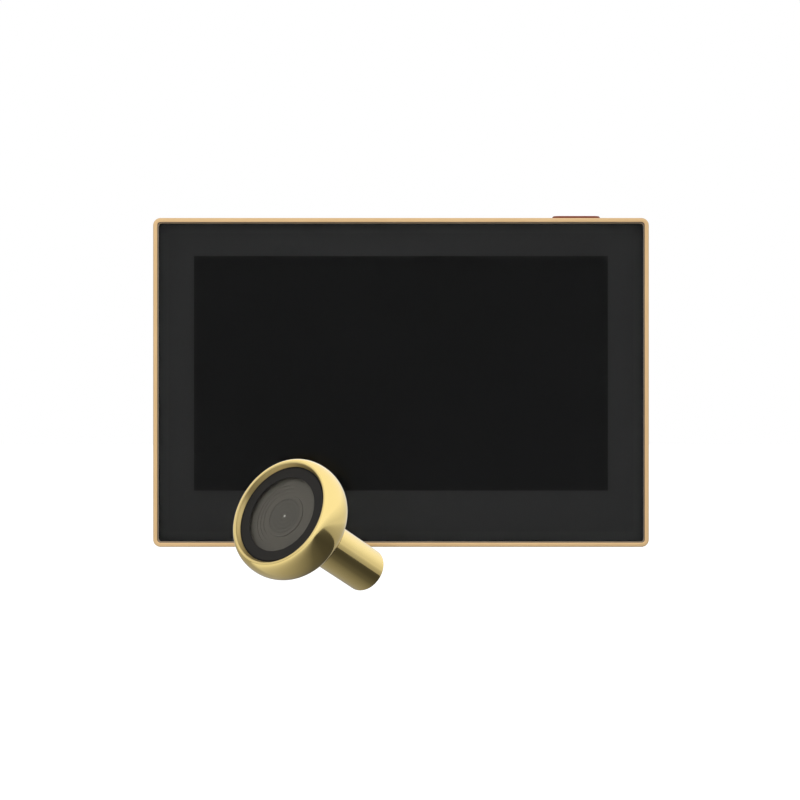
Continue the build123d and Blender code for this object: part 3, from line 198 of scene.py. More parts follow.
def build_bend_group():
    """Where a face turns from the front to the side: one mask for the rounded rim that looks
    away from the middle, and one for the rim that looks toward it."""
    group, inward, outward = start_group(
        "front_rim",
        [("Vector", "NodeSocketVector", None)],
        [("Outer", "NodeSocketFloat"), ("Inner", "NodeSocketFloat")],
    )
    plain = group.nodes.new("ShaderNodeNewGeometry")
    split = group.nodes.new("ShaderNodeSeparateXYZ")
    group.links.new(plain.outputs["Normal"], split.inputs[0])
    # How far a face looks forward, from 0 for sideways to 1 for straight ahead, and the two
    # values between which each mask comes or goes
    forward = math_node(group, "MULTIPLY", split.outputs["Y"], -1.0)
    leaves_front, nears_side, groove_wall = (0.985, 0.80), (0.05, 0.35), (0.86, 0.62)
    rim = math_node(group, "MULTIPLY", ramp(group, forward, *leaves_front),
                    ramp(group, forward, *nears_side))
    away = vector_node(group, "DOT_PRODUCT", plain.outputs["Normal"], inward.outputs["Vector"])
    change_over = 2.0 * mm
    outside = ramp(group, away.outputs["Value"], -change_over, change_over)
    group.links.new(math_node(group, "MULTIPLY", rim, outside), outward.inputs["Outer"])
    inside = math_node(group, "MULTIPLY", math_node(group, "SUBTRACT", 1.0, outside),
                       ramp(group, forward, *groove_wall))
    group.links.new(inside, outward.inputs["Inner"])
    return group


def build_dust_group():
    """Light dust that lies on faces that look up, in soft patches."""
    group, inward, outward = start_group(
        "light_dust",
        [("Vector", "NodeSocketVector", None), ("Patch Scale", "NodeSocketFloat", 60.0)],
        [("Mask", "NodeSocketFloat")],
    )
    plain = group.nodes.new("ShaderNodeNewGeometry")
    split = group.nodes.new("ShaderNodeSeparateXYZ")
    group.links.new(plain.outputs["Normal"], split.inputs[0])
    upward = ramp(group, split.outputs["Z"], 0.2, 1.0)
    patches = noise_node(group, inward.outputs["Vector"], inward.outputs["Patch Scale"], 5.0, 0.65)
    mask = math_node(group, "MULTIPLY", upward, ramp(group, patches, 0.4, 0.7))
    group.links.new(mask, outward.inputs["Mask"])
    return group


def build_turned_group():
    """Rings about an axis, as a lathe leaves them, and the radius that they follow."""
    group, inward, outward = start_group(
        "turned_rings",
        [("Vector", "NodeSocketVector", None), ("Centre", "NodeSocketVector", None),
         ("Axis", "NodeSocketVector", None), ("Pitch", "NodeSocketFloat", 0.2 * mm)],
        [("Radial Rings", "NodeSocketFloat"), ("Depth Rings", "NodeSocketFloat"),
         ("Radius", "NodeSocketFloat"), ("Depth", "NodeSocketFloat")],
    )
    offset = vector_node(group, "SUBTRACT", inward.outputs["Vector"], inward.outputs["Centre"])
    depth = vector_node(group, "DOT_PRODUCT", offset.outputs[0], inward.outputs["Axis"])
    along = vector_node(group, "SCALE", inward.outputs["Axis"], scale=depth.outputs["Value"])
    across = vector_node(group, "SUBTRACT", offset.outputs[0], along.outputs[0])
    radius = vector_node(group, "LENGTH", across.outputs[0])
    for name, value in (("Radial Rings", radius.outputs["Value"]),
                        ("Depth Rings", depth.outputs["Value"])):
        turns = math_node(group, "DIVIDE", value, inward.outputs["Pitch"])
        wave = math_node(group, "SINE", math_node(group, "MULTIPLY", turns, 2 * pi))
        group.links.new(math_node(group, "MULTIPLY_ADD", wave, 0.5, 0.5), outward.inputs[name])
    group.links.new(radius.outputs["Value"], outward.inputs["Radius"])
    group.links.new(depth.outputs["Value"], outward.inputs["Depth"])
    return group


def build_brushed_group():
    """Fine lines along one direction, as brushing or rolling leaves them."""
    group, inward, outward = start_group(
        "brushed_lines",
        [("Vector", "NodeSocketVector", None), ("Stretch", "NodeSocketVector", (200, 6000, 6000))],
        [("Lines", "NodeSocketFloat")],
    )
    stretched = vector_node(group, "MULTIPLY", inward.outputs["Vector"], inward.outputs["Stretch"])
    lines = noise_node(group, stretched.outputs[0], 1.0, 3.0)
    group.links.new(ramp(group, lines, 0.3, 0.7), outward.inputs["Lines"])
    return group


grain_group = build_grain_group()
edge_group = build_edge_group()
bend_group = build_bend_group()
dust_group = build_dust_group()
turned_group = build_turned_group()
brushed_group = build_brushed_group()


# How a material is put together
class Surface:
    """A Principled material whose colour, roughness and bump are built up step by step."""

    def __init__(self, name, colour, roughness, metallic=0.0, **sockets):
        self.material = bpy.data.materials.new(name)
        self.material.use_nodes = True
        self.tree = self.material.node_tree
        self.shader = self.tree.nodes["Principled BSDF"]
        self.shader.inputs["Metallic"].default_value = metallic
        self.shader.inputs["Roughness"].default_value = roughness
        for socket, value in sockets.items():
            self.shader.inputs[socket.replace("_", " ")].default_value = value
        self.shader.inputs["Base Color"].default_value = (*colour, 1.0)
        self.vector = self.tree.nodes.new("ShaderNodeTexCoord").outputs["Object"]
        self.colour = None
        self.height_normal = None

    def put(self, group, **values):
        """Places a node group in the material, with its own values, and returns its outputs."""
        node = self.tree.nodes.new("ShaderNodeGroup")
        node.node_tree = group
        self.tree.links.new(self.vector, node.inputs["Vector"])
        for socket, value in values.items():
            node.inputs[socket.replace("_", " ")].default_value = value
        return node.outputs

    def tint(self, mask, colour, amount):
        """Lays a share of a colour over the surface where the mask says."""
        mix = self.tree.nodes.new("ShaderNodeMix")
        mix.data_type = "RGBA"
        factor = math_node(self.tree, "MULTIPLY", mask, amount)
        self.tree.links.new(factor, mix.inputs["Factor"])
        if self.colour is None:
            mix.inputs[6].default_value = self.shader.inputs["Base Color"].default_value
        else:
            self.tree.links.new(self.colour, mix.inputs[6])
        mix.inputs[7].default_value = (*colour, 1.0)
        self.colour = mix.outputs[2]
        self.tree.links.new(self.colour, self.shader.inputs["Base Color"])

    def roughen(self, mask, low, high):
        """Lets the roughness run from low to high with the mask."""
        self.tree.links.new(ramp(self.tree, mask, 0.0, 1.0, low, high),
                            self.shader.inputs["Roughness"])

    def raise_by(self, height, depth, strength):
        """Adds a bump of a given depth in metres, over the bumps that are there."""
        bump = self.tree.nodes.new("ShaderNodeBump")
        bump.inputs["Strength"].default_value = strength
        bump.inputs["Distance"].default_value = depth
        self.tree.links.new(height, bump.inputs["Height"])
        if self.height_normal is not None:
            self.tree.links.new(self.height_normal, bump.inputs["Normal"])
        self.height_normal = bump.outputs["Normal"]
        self.tree.links.new(self.height_normal, self.shader.inputs["Normal"])


# Materials
def anodised_gold():
    """Satin tan gold of the monitor's frame, with drawn lines along its sides, painted shade on
    its rounded outer rim, and painted shade near black in the groove that holds the glass."""
    surface = Surface("anodised_gold", (0.79, 0.54, 0.28), 0.40, 0.5, Specular_IOR_Level=0.2)
    grain = surface.put(grain_group, Grain_Scale=9000.0, Cloud_Scale=45.0)
    edges = surface.put(edge_group, Width=0.18 * mm, Break_Scale=700.0)
    rim = surface.put(bend_group)
    drawn = surface.put(brushed_group, Stretch=(60.0, 4500.0, 60.0))
    surface.tint(grain["Cloud"], (0.81, 0.56, 0.30), 0.5)
    surface.tint(drawn["Lines"], (0.70, 0.465, 0.23), 0.45)
    surface.tint(edges["Mask"], (0.85, 0.69, 0.45), 0.25)
    # Painted shade: the rounded outer rim is tinted darker, and the groove wall that holds the
    # glass near black
    surface.tint(rim["Outer"], (0.55, 0.415, 0.25), 0.6)
    surface.tint(rim["Inner"], (0.030, 0.016, 0.006), 1.0)
    surface.roughen(grain["Grain"], 0.32, 0.42)
    surface.raise_by(grain["Grain"], 0.004 * mm, 0.4)
    surface.raise_by(drawn["Lines"], 0.003 * mm, 0.5)
    return surface.material


def polished_gold():
    """Bright yellow gold of the camera's turned head and barrel, dark at the head's back edge,
    and duller in the recess before the window, where painted shade darkens the recess's inner
    wall."""
    surface = Surface("polished_gold", (0.93, 0.725, 0.29), 0.09, 1.0)
    grain = surface.put(grain_group, Grain_Scale=5000.0, Cloud_Scale=90.0)
    marks = surface.put(turned_group, Centre=unit_centre, Axis=unit_axis, Pitch=0.16 * mm)
    edges = surface.put(edge_group, Width=0.15 * mm, Break_Scale=900.0)
    surface.tint(grain["Cloud"], (0.95, 0.76, 0.33), 0.5)
    surface.tint(edges["Mask"], (0.97, 0.86, 0.56), 0.3)
    edge_depth, edge_radius, edge_blend = 8.5 * mm, 11.5 * mm, 0.5 * mm
    back_edge = math_node(surface.tree, "MULTIPLY",
                          ramp(surface.tree, marks["Depth"], edge_depth, edge_depth + edge_blend),
                          ramp(surface.tree, marks["Radius"], edge_radius,
                               edge_radius + edge_blend))
    surface.tint(back_edge, (0.05, 0.036, 0.014), 0.95)
    surface.tree.links.new(math_node(surface.tree, "SUBTRACT", 1.0, back_edge),
                           surface.shader.inputs["Metallic"])
    crest_blend, recess_floor, floor_blend = 0.1 * mm, 1.0 * mm, 0.2 * mm
    recess = math_node(surface.tree, "MULTIPLY",
                       ramp(surface.tree, marks["Radius"], crest_radius + crest_blend,
                            crest_radius - crest_blend),
                       ramp(surface.tree, marks["Depth"], recess_floor,
                            recess_floor - floor_blend))
    # Painted shade: the recess's inner wall before the window is tinted a darker tan
    wall_begins, wall_is_full = 0.15 * mm, 0.4 * mm
    recess_wall_shade = ramp(surface.tree, marks["Radius"], crest_radius - wall_begins,
                      crest_radius - wall_is_full)
    surface.tint(math_node(surface.tree, "MULTIPLY", recess, recess_wall_shade), (0.60, 0.47, 0.22), 0.65)
    smooth = ramp(surface.tree, grain["Cloud"], 0.0, 1.0, 0.07, 0.12)
    recess_haze, edge_haze = 0.3, 0.6
    dulled = math_node(surface.tree, "MULTIPLY_ADD", recess, recess_haze, smooth)
    dulled = math_node(surface.tree, "MULTIPLY_ADD", back_edge, edge_haze, dulled)
    surface.tree.links.new(dulled, surface.shader.inputs["Roughness"])
    surface.raise_by(marks["Depth Rings"], 0.0006 * mm, 0.5)
    return surface.material


def thread_gold():
    """The same gold, duller, inside the barrel where the thread is cut."""
    surface = Surface("thread_gold", (0.62, 0.47, 0.20), 0.34, 1.0)
    grain = surface.put(grain_group, Grain_Scale=6000.0, Cloud_Scale=300.0)
    surface.tint(grain["Cloud"], (0.42, 0.30, 0.12), 0.6)
    surface.roughen(grain["Grain"], 0.26, 0.44)
    return surface.material


def cover_glass_finish():
    """Clear flat glass over the screen, with the faintest smears. It bends no light itself. Its
    reflections come from the prints right behind it, which keeps them free of grain."""
    surface = Surface("clear_glass", (0.98, 0.99, 0.985), 0.0, 0.0,
                      Transmission_Weight=1.0, IOR=1.0)
    grain = surface.put(grain_group, Grain_Scale=900.0, Cloud_Scale=18.0)
    surface.tint(grain["Cloud"], (0.96, 0.97, 0.97), 0.5)
    return surface.material


def coated_window():
    """The camera's round window, with a coating that cuts its reflections."""
    surface = Surface("coated_window", (0.93, 0.94, 0.93), 0.0, 0.0,
                      Transmission_Weight=1.0, IOR=1.12)
    grain = surface.put(grain_group, Grain_Scale=1500.0, Cloud_Scale=80.0)
    surface.roughen(grain["Cloud"], 0.0, 0.03)
    return surface.material


def frosted_lens():
    """Grey coated lens face with the faint rings that the photograph shows."""
    surface = Surface("frosted_lens", (0.092, 0.083, 0.070), 0.5, 0.0, Specular_IOR_Level=0.15)
    marks = surface.put(turned_group, Centre=unit_centre, Axis=unit_axis, Pitch=1.05 * mm)
    fine = surface.put(turned_group, Centre=unit_centre, Axis=unit_axis, Pitch=0.3 * mm)
    # Painted highlight: a pale spot at the lens's middle, where a glint shows
    painted_glint = ramp(surface.tree, marks["Radius"], 0.42 * mm, 0.18 * mm)
    surface.tint(marks["Radial Rings"], (0.060, 0.055, 0.048), 0.8)
    surface.tint(fine["Radial Rings"], (0.105, 0.096, 0.082), 0.25)
    surface.tint(painted_glint, (0.50, 0.49, 0.45), 1.0)
    surface.roughen(marks["Radial Rings"], 0.42, 0.6)
    surface.raise_by(marks["Radial Rings"], 0.004 * mm, 0.4)
    return surface.material


def inner_lens():
    """Clear lens glass inside the stack."""
    surface = Surface("inner_lens", (0.9, 0.95, 0.93), 0.0, 0.0, Transmission_Weight=1.0, IOR=1.5)
    grain = surface.put(grain_group, Grain_Scale=2500.0, Cloud_Scale=300.0)
    surface.roughen(grain["Cloud"], 0.0, 0.02)
    return surface.material


def printed_black(name, level, shine):
    """Print behind the glass: very dark grey, with a trace of the screen it was printed
    through."""
    surface = Surface(name, (level, level, level), 0.06, Specular_IOR_Level=shine)
    grain = surface.put(grain_group, Grain_Scale=5000.0, Cloud_Scale=30.0)
    surface.tint(grain["Grain"], (1.08 * level, 1.08 * level, 1.08 * level), 0.5)
    surface.tint(grain["Cloud"], (0.96 * level, 0.97 * level, 0.97 * level), 0.5)
    surface.roughen(grain["Cloud"], 0.05, 0.07)
    return surface.material


def window_print():
    """Black ring printed behind the camera's window."""
    surface = Surface("window_print", (0.017, 0.016, 0.015), 0.45, Specular_IOR_Level=0.1)
    grain = surface.put(grain_group, Grain_Scale=6000.0, Cloud_Scale=160.0)
    surface.tint(grain["Cloud"], (0.021, 0.019, 0.017), 0.6)
    surface.roughen(grain["Grain"], 0.38, 0.50)
    return surface.material


def dark_screen():
    """Screen that is switched off: near black, with its fine dot pattern."""
    surface = Surface("dark_screen", (0.0043, 0.0043, 0.0044), 0.06, Specular_IOR_Level=0.055)
    brushed = surface.put(brushed_group, Stretch=(4330.0, 10.0, 4330.0))
    grain = surface.put(grain_group, Grain_Scale=4330.0, Cloud_Scale=25.0)
    surface.tint(brushed["Lines"], (0.0039, 0.0039, 0.0041), 0.5)
    surface.tint(grain["Cloud"], (0.0047, 0.0047, 0.0047), 0.5)
    surface.roughen(grain["Cloud"], 0.05, 0.07)
    return surface.material


def grey_baffle():
    """Stepped grey baffle round the lens."""
    surface = Surface("grey_baffle", (0.100, 0.090, 0.076), 0.42, Specular_IOR_Level=0.1)
    grain = surface.put(grain_group, Grain_Scale=7000.0, Cloud_Scale=220.0)
    marks = surface.put(turned_group, Centre=unit_centre, Axis=unit_axis, Pitch=0.22 * mm)
    surface.tint(grain["Cloud"], (0.108, 0.098, 0.082), 0.6)
    surface.tint(marks["Radial Rings"], (0.090, 0.082, 0.070), 0.35)
    surface.roughen(grain["Grain"], 0.36, 0.5)
    surface.raise_by(marks["Radial Rings"], 0.004 * mm, 0.4)
    return surface.material


def textured_black():
    """Rear cover: black plastic with a fine spark texture, worn a little at its edges."""
    surface = Surface("textured_black", (0.022, 0.022, 0.023), 0.55, 0.0, Specular_IOR_Level=0.45)
    grain = surface.put(grain_group, Grain_Scale=3200.0, Cloud_Scale=55.0)
    edges = surface.put(edge_group, Width=0.3 * mm, Break_Scale=450.0)
    dust = surface.put(dust_group, Patch_Scale=70.0)
    surface.tint(grain["Cloud"], (0.030, 0.030, 0.031), 0.6)
    surface.tint(edges["Mask"], (0.075, 0.074, 0.072), 0.7)
    surface.tint(dust["Mask"], (0.16, 0.155, 0.15), 0.25)
    surface.roughen(grain["Cloud"], 0.48, 0.62)
    surface.raise_by(grain["Grain"], 0.03 * mm, 0.5)
    return surface.material


def soft_rubber():
    """Matt black rubber and foam of the gaskets and the seal."""
    surface = Surface("soft_rubber", (0.010, 0.010, 0.010), 0.8, 0.0, Specular_IOR_Level=0.1)
    grain = surface.put(grain_group, Grain_Scale=5000.0, Cloud_Scale=200.0)
    surface.tint(grain["Cloud"], (0.016, 0.015, 0.015), 0.6)
    surface.roughen(grain["Grain"], 0.72, 0.9)
    surface.raise_by(grain["Grain"], 0.01 * mm, 0.5)
    return surface.material


def chip_resin():
    """Dull black resin of chips, switch, speaker and lens parts."""
    surface = Surface("chip_resin", (0.028, 0.028, 0.030), 0.6)
    grain = surface.put(grain_group, Grain_Scale=6500.0, Cloud_Scale=260.0)
    surface.tint(grain["Cloud"], (0.040, 0.040, 0.041), 0.6)
    surface.roughen(grain["Grain"], 0.5, 0.7)
    surface.raise_by(grain["Grain"], 0.006 * mm, 0.4)
    return surface.material


def cream_nylon():
    """Cream plastic of the sockets."""
    surface = Surface("cream_nylon", (0.68, 0.63, 0.50), 0.5)
    grain = surface.put(grain_group, Grain_Scale=4000.0, Cloud_Scale=300.0)
    surface.tint(grain["Cloud"], (0.74, 0.70, 0.58), 0.6)
    surface.roughen(grain["Grain"], 0.42, 0.58)
    return surface.material


def amber_film():
    """Amber film of the ribbon, with its copper tracks."""
    surface = Surface("amber_film", (0.52, 0.24, 0.05), 0.3, 0.0, Coat_Weight=0.4)
    tracks = surface.put(brushed_group, Stretch=(2500.0, 20.0, 20.0))
    surface.tint(tracks["Lines"], (0.34, 0.13, 0.03), 0.7)
    surface.roughen(tracks["Lines"], 0.24, 0.4)
    return surface.material


def copper_paint():
    """Red-brown satin finish of the power button."""
    surface = Surface("copper_paint", (0.19, 0.032, 0.011), 0.55, Specular_IOR_Level=0.08)
    grain = surface.put(grain_group, Grain_Scale=8000.0, Cloud_Scale=180.0)
    edges = surface.put(edge_group, Width=0.12 * mm, Break_Scale=900.0)
    surface.tint(grain["Cloud"], (0.22, 0.042, 0.015), 0.6)
    surface.tint(edges["Mask"], (0.24, 0.10, 0.06), 0.3)
    surface.roughen(grain["Grain"], 0.48, 0.62)
    surface.raise_by(grain["Grain"], 0.003 * mm, 0.4)
    return surface.material


def plated_metal(name, colour, clouded, roughness, stretch):
    """Plated or rolled sheet metal with fine lines along one direction."""
    surface = Surface(name, colour, roughness, 1.0)
    lines = surface.put(brushed_group, Stretch=stretch)
    grain = surface.put(grain_group, Grain_Scale=5000.0, Cloud_Scale=220.0)
    edges = surface.put(edge_group, Width=0.12 * mm, Break_Scale=1200.0)
    surface.tint(grain["Cloud"], clouded, 0.6)
    surface.tint(edges["Mask"], (0.85, 0.85, 0.84), 0.5)
    surface.roughen(lines["Lines"], roughness - 0.06, roughness + 0.1)
    surface.raise_by(lines["Lines"], 0.002 * mm, 0.5)
    return surface.material


def powder_coat():
    """Door bracket: black powder coat with its orange-peel surface and bare rubbed edges."""
    surface = Surface("powder_coat", (0.045, 0.045, 0.047), 0.42, 0.0, Coat_Weight=0.25)
    grain = surface.put(grain_group, Grain_Scale=1400.0, Cloud_Scale=60.0)
    edges = surface.put(edge_group, Width=0.25 * mm, Break_Scale=380.0)
    dust = surface.put(dust_group, Patch_Scale=80.0)
    surface.tint(grain["Cloud"], (0.056, 0.056, 0.058), 0.6)
    surface.tint(edges["Mask"], (0.24, 0.235, 0.22), 0.7)
    surface.tint(dust["Mask"], (0.20, 0.195, 0.19), 0.25)
    surface.roughen(grain["Cloud"], 0.36, 0.5)
    surface.raise_by(grain["Grain"], 0.02 * mm, 0.6)
    return surface.material


def turned_brass(name, centre, axis):
    """Turned brass of the clamp bolt or the board ring, with lathe rings."""
    surface = Surface(name, (0.66, 0.49, 0.21), 0.24, 1.0)
    grain = surface.put(grain_group, Grain_Scale=5000.0, Cloud_Scale=260.0)
    marks = surface.put(turned_group, Centre=centre, Axis=axis, Pitch=0.14 * mm)
    edges = surface.put(edge_group, Width=0.12 * mm, Break_Scale=1100.0)
    surface.tint(grain["Cloud"], (0.52, 0.37, 0.15), 0.6)
    surface.tint(edges["Mask"], (0.85, 0.70, 0.40), 0.5)
    surface.roughen(grain["Grain"], 0.18, 0.32)
    surface.raise_by(marks["Radial Rings"], 0.0015 * mm, 0.5)
    return surface.material


def solder_mask():
    """Green board with a trace of its tracks."""
    surface = Surface("solder_mask", (0.016, 0.11, 0.045), 0.35, 0.0, Coat_Weight=0.3)
    tracks = surface.put(brushed_group, Stretch=(90.0, 90.0, 1800.0))
    grain = surface.put(grain_group, Grain_Scale=3000.0, Cloud_Scale=150.0)
    surface.tint(tracks["Lines"], (0.028, 0.16, 0.065), 0.6)
    surface.roughen(grain["Grain"], 0.28, 0.42)
    return surface.material


def sensor_face():
    """Image sensor: dark violet, iridescent in the real one."""
    surface = Surface("sensor_face", (0.05, 0.04, 0.08), 0.2, 0.0, Coat_Weight=0.6)
    grain = surface.put(grain_group, Grain_Scale=9000.0, Cloud_Scale=700.0)
    surface.tint(grain["Cloud"], (0.03, 0.07, 0.09), 0.7)
    surface.roughen(grain["Grain"], 0.14, 0.26)
    return surface.material


def pouch_foil():
    """Silver foil pouch of the battery, slightly wrinkled."""
    surface = Surface("pouch_foil", (0.62, 0.64, 0.67), 0.35, 1.0)
    grain = surface.put(grain_group, Grain_Scale=700.0, Cloud_Scale=140.0)
    surface.tint(grain["Cloud"], (0.70, 0.71, 0.73), 0.6)
    surface.roughen(grain["Cloud"], 0.28, 0.45)
    surface.raise_by(grain["Grain"], 0.05 * mm, 0.4)
    return surface.material


door_centre = Vector((0.0, 0.0, 0.0))
door_axis = Vector((0.0, 1.0, 0.0))
sheet_stretch = (300.0, 7000.0, 7000.0)
finishes = {
    "gold_frame": anodised_gold(),
    "gold_head": polished_gold(),
    "screen_glass": cover_glass_finish(),
    "window_glass": coated_window(),
    "lens_glass": inner_lens(),
    "black_print": printed_black("printed_black", 0.0168, 0.055),
    "screen_dark": dark_screen(),
    "tray_metal": plated_metal("stamped_tray", (0.50, 0.51, 0.53), (0.56, 0.57, 0.59), 0.4,
                               sheet_stretch),
    "black_plastic": textured_black(),
    "black_rubber": soft_rubber(),
    "chip_black": chip_resin(),
    "socket_cream": cream_nylon(),
    "amber_film": amber_film(),
    "copper_button": copper_paint(),
    "copper_strip": plated_metal("copper_strip", (0.62, 0.31, 0.15), (0.68, 0.38, 0.2), 0.3,
                                 sheet_stretch),
    "tin_plate": plated_metal("tin_plate", (0.58, 0.58, 0.57), (0.64, 0.64, 0.63), 0.3,
                              sheet_stretch),
    "steel_screw": plated_metal("steel_screw", (0.40, 0.40, 0.41), (0.30, 0.30, 0.31), 0.28,
                                (3000.0, 3000.0, 3000.0)),
    "bracket_steel": powder_coat(),
    "brass_bolt": turned_brass("bolt_brass", door_centre, door_axis),
    "board_green": solder_mask(),
    "baffle_grey": grey_baffle(),
    "sensor_face": sensor_face(),
    "battery_foil": pouch_foil(),
}
own_finishes = {
    "window_mask": window_print(),
    "front_lens": frosted_lens(),
    "lens_barrel": finishes["baffle_grey"],
    "board_ring": turned_brass("unit_brass", unit_centre, unit_axis),
}


def dress(piece, material):
    """Gives a piece one finish all over."""
    for slot in piece.material_slots:
        slot.material = material
    if not piece.material_slots:
        piece.data.materials.append(material)


for row in frame["record"]["subparts"]:
    name = row["node"]
    dress(nodes[name], own_finishes.get(name, finishes[row["material_slot"]]))


# New meshes
def finish_piece(name, mesh, body, material, replaced=()):
    """Turns a mesh into a piece of the scene that moves with a body."""
    mesh.materials.clear()
    mesh.materials.append(material)
    piece = bpy.data.objects.new(name, mesh)
    bpy.context.scene.collection.objects.link(piece)
    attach(piece, body)
    if replaced:
        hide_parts(*replaced)
    return piece


def thinned_glass(node, name, direction, body, material):
    """A copy of a glass node whose back stands a hair off what lies behind it."""
    mesh = nodes[node].data.copy()
    reach = max(vertex.co.dot(direction) for vertex in mesh.vertices)
    hair = 0.02 * mm
    for vertex in mesh.vertices:
        if vertex.co.dot(direction) > reach - hair:
            vertex.co -= direction * hair
    return finish_piece(name, mesh, body, material, [node])


def front_ring():
    """The window's black ring at half its thickness, laid on the window's front, where the
    photograph shows it."""
    mesh = nodes["window_mask"].data.copy()
    ring_front = min(depth_along_unit(vertex.co) for vertex in mesh.vertices)
    thinning = 0.5
    proud = 0.07 * mm
    for vertex in mesh.vertices:
        depth = depth_along_unit(vertex.co) - ring_front
        vertex.co -= unit_axis * (ring_front + depth * thinning + proud)
    finish_piece("camera_window_ring", mesh, "camera_unit", own_finishes["window_mask"],
                 ["window_mask"])


def helix_radius(turn, along, pitch, root, crest, flat_share=0.2):
    """Radius of a thread at a turn (0 to 1 round the axis) and a place along it."""
    phase = (along / pitch - turn) % 1.0
    rise = min(1.0, max(0.0, (0.5 - abs(phase - 0.5)) / (0.5 - flat_share) - flat_share))
    return root + (crest - root) * min(1.0, rise)


def thread_mesh(name, centre, axis, length, pitch, root, crest, closing, around=64, steps=8):
    """A closed tube: one wall is a thread between root and crest, the other has radius closing."""
    side = axis.orthogonal().normalized()
    up = axis.cross(side)
    rings = int(round(length / pitch * steps))
    work = bmesh.new()

    def wall_rows(threaded):
        rows = []
        for ring in range(rings + 1):
            along = length * ring / rings
            fade = min(1.0, along / pitch, (length - along) / pitch)
            row = []
            for spoke in range(around):
                turn = spoke / around
                deep = helix_radius(turn, along, pitch, root, crest)
                radius = crest + (deep - crest) * fade if threaded else closing
                way = side * cos(2 * pi * turn) + up * sin(2 * pi * turn)
                row.append(work.verts.new(centre + axis * along + way * radius))
            rows.append(row)
        return rows

    walls = [wall_rows(True), wall_rows(False)]
    bands = [(rows[ring], rows[ring + 1]) for rows in walls for ring in range(rings)]
    bands += [(walls[0][ring], walls[1][ring]) for ring in (0, rings)]
    for lower, upper in bands:
        for spoke in range(around):
            after = (spoke + 1) % around
            work.faces.new([lower[spoke], lower[after], upper[after], upper[spoke]])
    bmesh.ops.recalc_face_normals(work, faces=work.faces)
    mesh = bpy.data.meshes.new(name)
    work.to_mesh(mesh)
    work.free()
    for face in mesh.polygons:
        face.use_smooth = True
    return mesh


# Glass pieces that stand a hair off the print behind them
cover = thinned_glass("cover_glass", "screen_cover_glass", door_axis, "monitor",
                      finishes["screen_glass"])
thinned_glass("front_window", "camera_window", unit_axis, "camera_unit",
              finishes["window_glass"])
front_ring()


# Black print that carries the border out to the glass's edge, over the gasket, and up the
# glass's sides
def rounded_corners(half_width, half_height, corner, steps=6):
    """Points round a rectangle with rounded corners."""
    points = []
    for index, (across, upward) in enumerate(((1, 1), (-1, 1), (-1, -1), (1, -1))):
        for step in range(steps + 1):
            angle = (index + step / steps) * pi / 2
            points.append((across * (half_width - corner) + corner * cos(angle),
                           upward * (half_height - corner) + corner * sin(angle)))
    return points


def print_edge_mesh():
    """A ring that laps over the printed border, runs out to the glass's edge and turns forward
    along its sides."""
    glass_low, glass_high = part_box("cover_glass")
    border_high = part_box("glass_border")[1]
    lap = 1.0 * mm
    inset = 0.01 * mm
    front_gap = 0.35 * mm
    outer_corner, inner_corner = 1.0 * mm, 0.5 * mm
    back = glass_high.y - inset
    front = glass_low.y + front_gap
    outline = rounded_corners(glass_high.x - inset, glass_high.z - inset, outer_corner)
    inside = rounded_corners(border_high.x - lap, border_high.z - lap, inner_corner)
    work = bmesh.new()
    rows = [[work.verts.new((x, place, z)) for x, z in ring]
            for ring, place in ((outline, front), (outline, back), (inside, back))]
    for lower, upper in zip(rows, rows[1:]):
        for spoke in range(len(lower)):
            after = (spoke + 1) % len(lower)
            work.faces.new([lower[spoke], lower[after], upper[after], upper[spoke]])
    bmesh.ops.recalc_face_normals(work, faces=work.faces)
    mesh = bpy.data.meshes.new("print_edge")
    work.to_mesh(mesh)
    work.free()
    return mesh


print_edge = finish_piece("print_edge", print_edge_mesh(), "monitor",
                          printed_black("edge_print", 0.0200, 0.0))

# Clamp bolt: the CAD's flange and slot, with a cut thread for its shank
bolt_mount = mounts["bolt_shank"]
bolt_crest = bolt_mount["dims"]["r_mm"] * mm
bolt_bore = mounts["ribbon_bore"]["dims"]["r_mm"] * mm
bolt_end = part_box("clamp_bolt")[1].y
thread_start = 0.4 * mm
head_lap = 0.4 * mm
bolt_pitch = 1.0 * mm
thread_depth = 0.5 * mm


def bolt_head_mesh():
    """The head of the clamp bolt, cut from the CAD node a little past the thread's start."""
    work = bmesh.new()
    work.from_mesh(nodes["clamp_bolt"].data)
    geometry = work.verts[:] + work.edges[:] + work.faces[:]
    bmesh.ops.bisect_plane(work, geom=geometry, plane_co=(0, thread_start + head_lap, 0),
                           plane_no=door_axis, clear_outer=True)
    mesh = bpy.data.meshes.new("clamp_bolt_head")
    work.to_mesh(mesh)
    work.free()
    return mesh


bolt_head = finish_piece("clamp_bolt_head", bolt_head_mesh(), "bolt", finishes["brass_bolt"],
                         ["clamp_bolt"])
bolt_thread = finish_piece(
    "clamp_bolt_thread",
    thread_mesh("clamp_bolt_thread", door_axis * thread_start, door_axis,
                bolt_end - thread_start, bolt_pitch, bolt_crest - thread_depth, bolt_crest,
                bolt_bore),
    "bolt", finishes["brass_bolt"], ["clamp_bolt"],
)

# Thread inside the barrel. It stops short of both ends of the bore and is sunk in its wall.
bore_mount = mounts["barrel_thread"]
bore_radius = bore_mount["dims"]["r_mm"] * mm
bore_length = bore_mount["dims"]["length_mm"] * mm
front_stop, back_stop = 0.2 * mm, 1.0 * mm
inner_thread_depth, sunk = 0.35 * mm, 0.1 * mm
inner_thread_start = Vector(bore_mount["pos_m"]) - unit_axis * (bore_length / 2 - front_stop)
finish_piece(
    "barrel_inner_thread",
    thread_mesh("barrel_inner_thread", inner_thread_start, unit_axis,
                bore_length - front_stop - back_stop, bolt_pitch, bore_radius,
                bore_radius - inner_thread_depth, bore_radius + sunk),
    "camera_unit", thread_gold(),
)


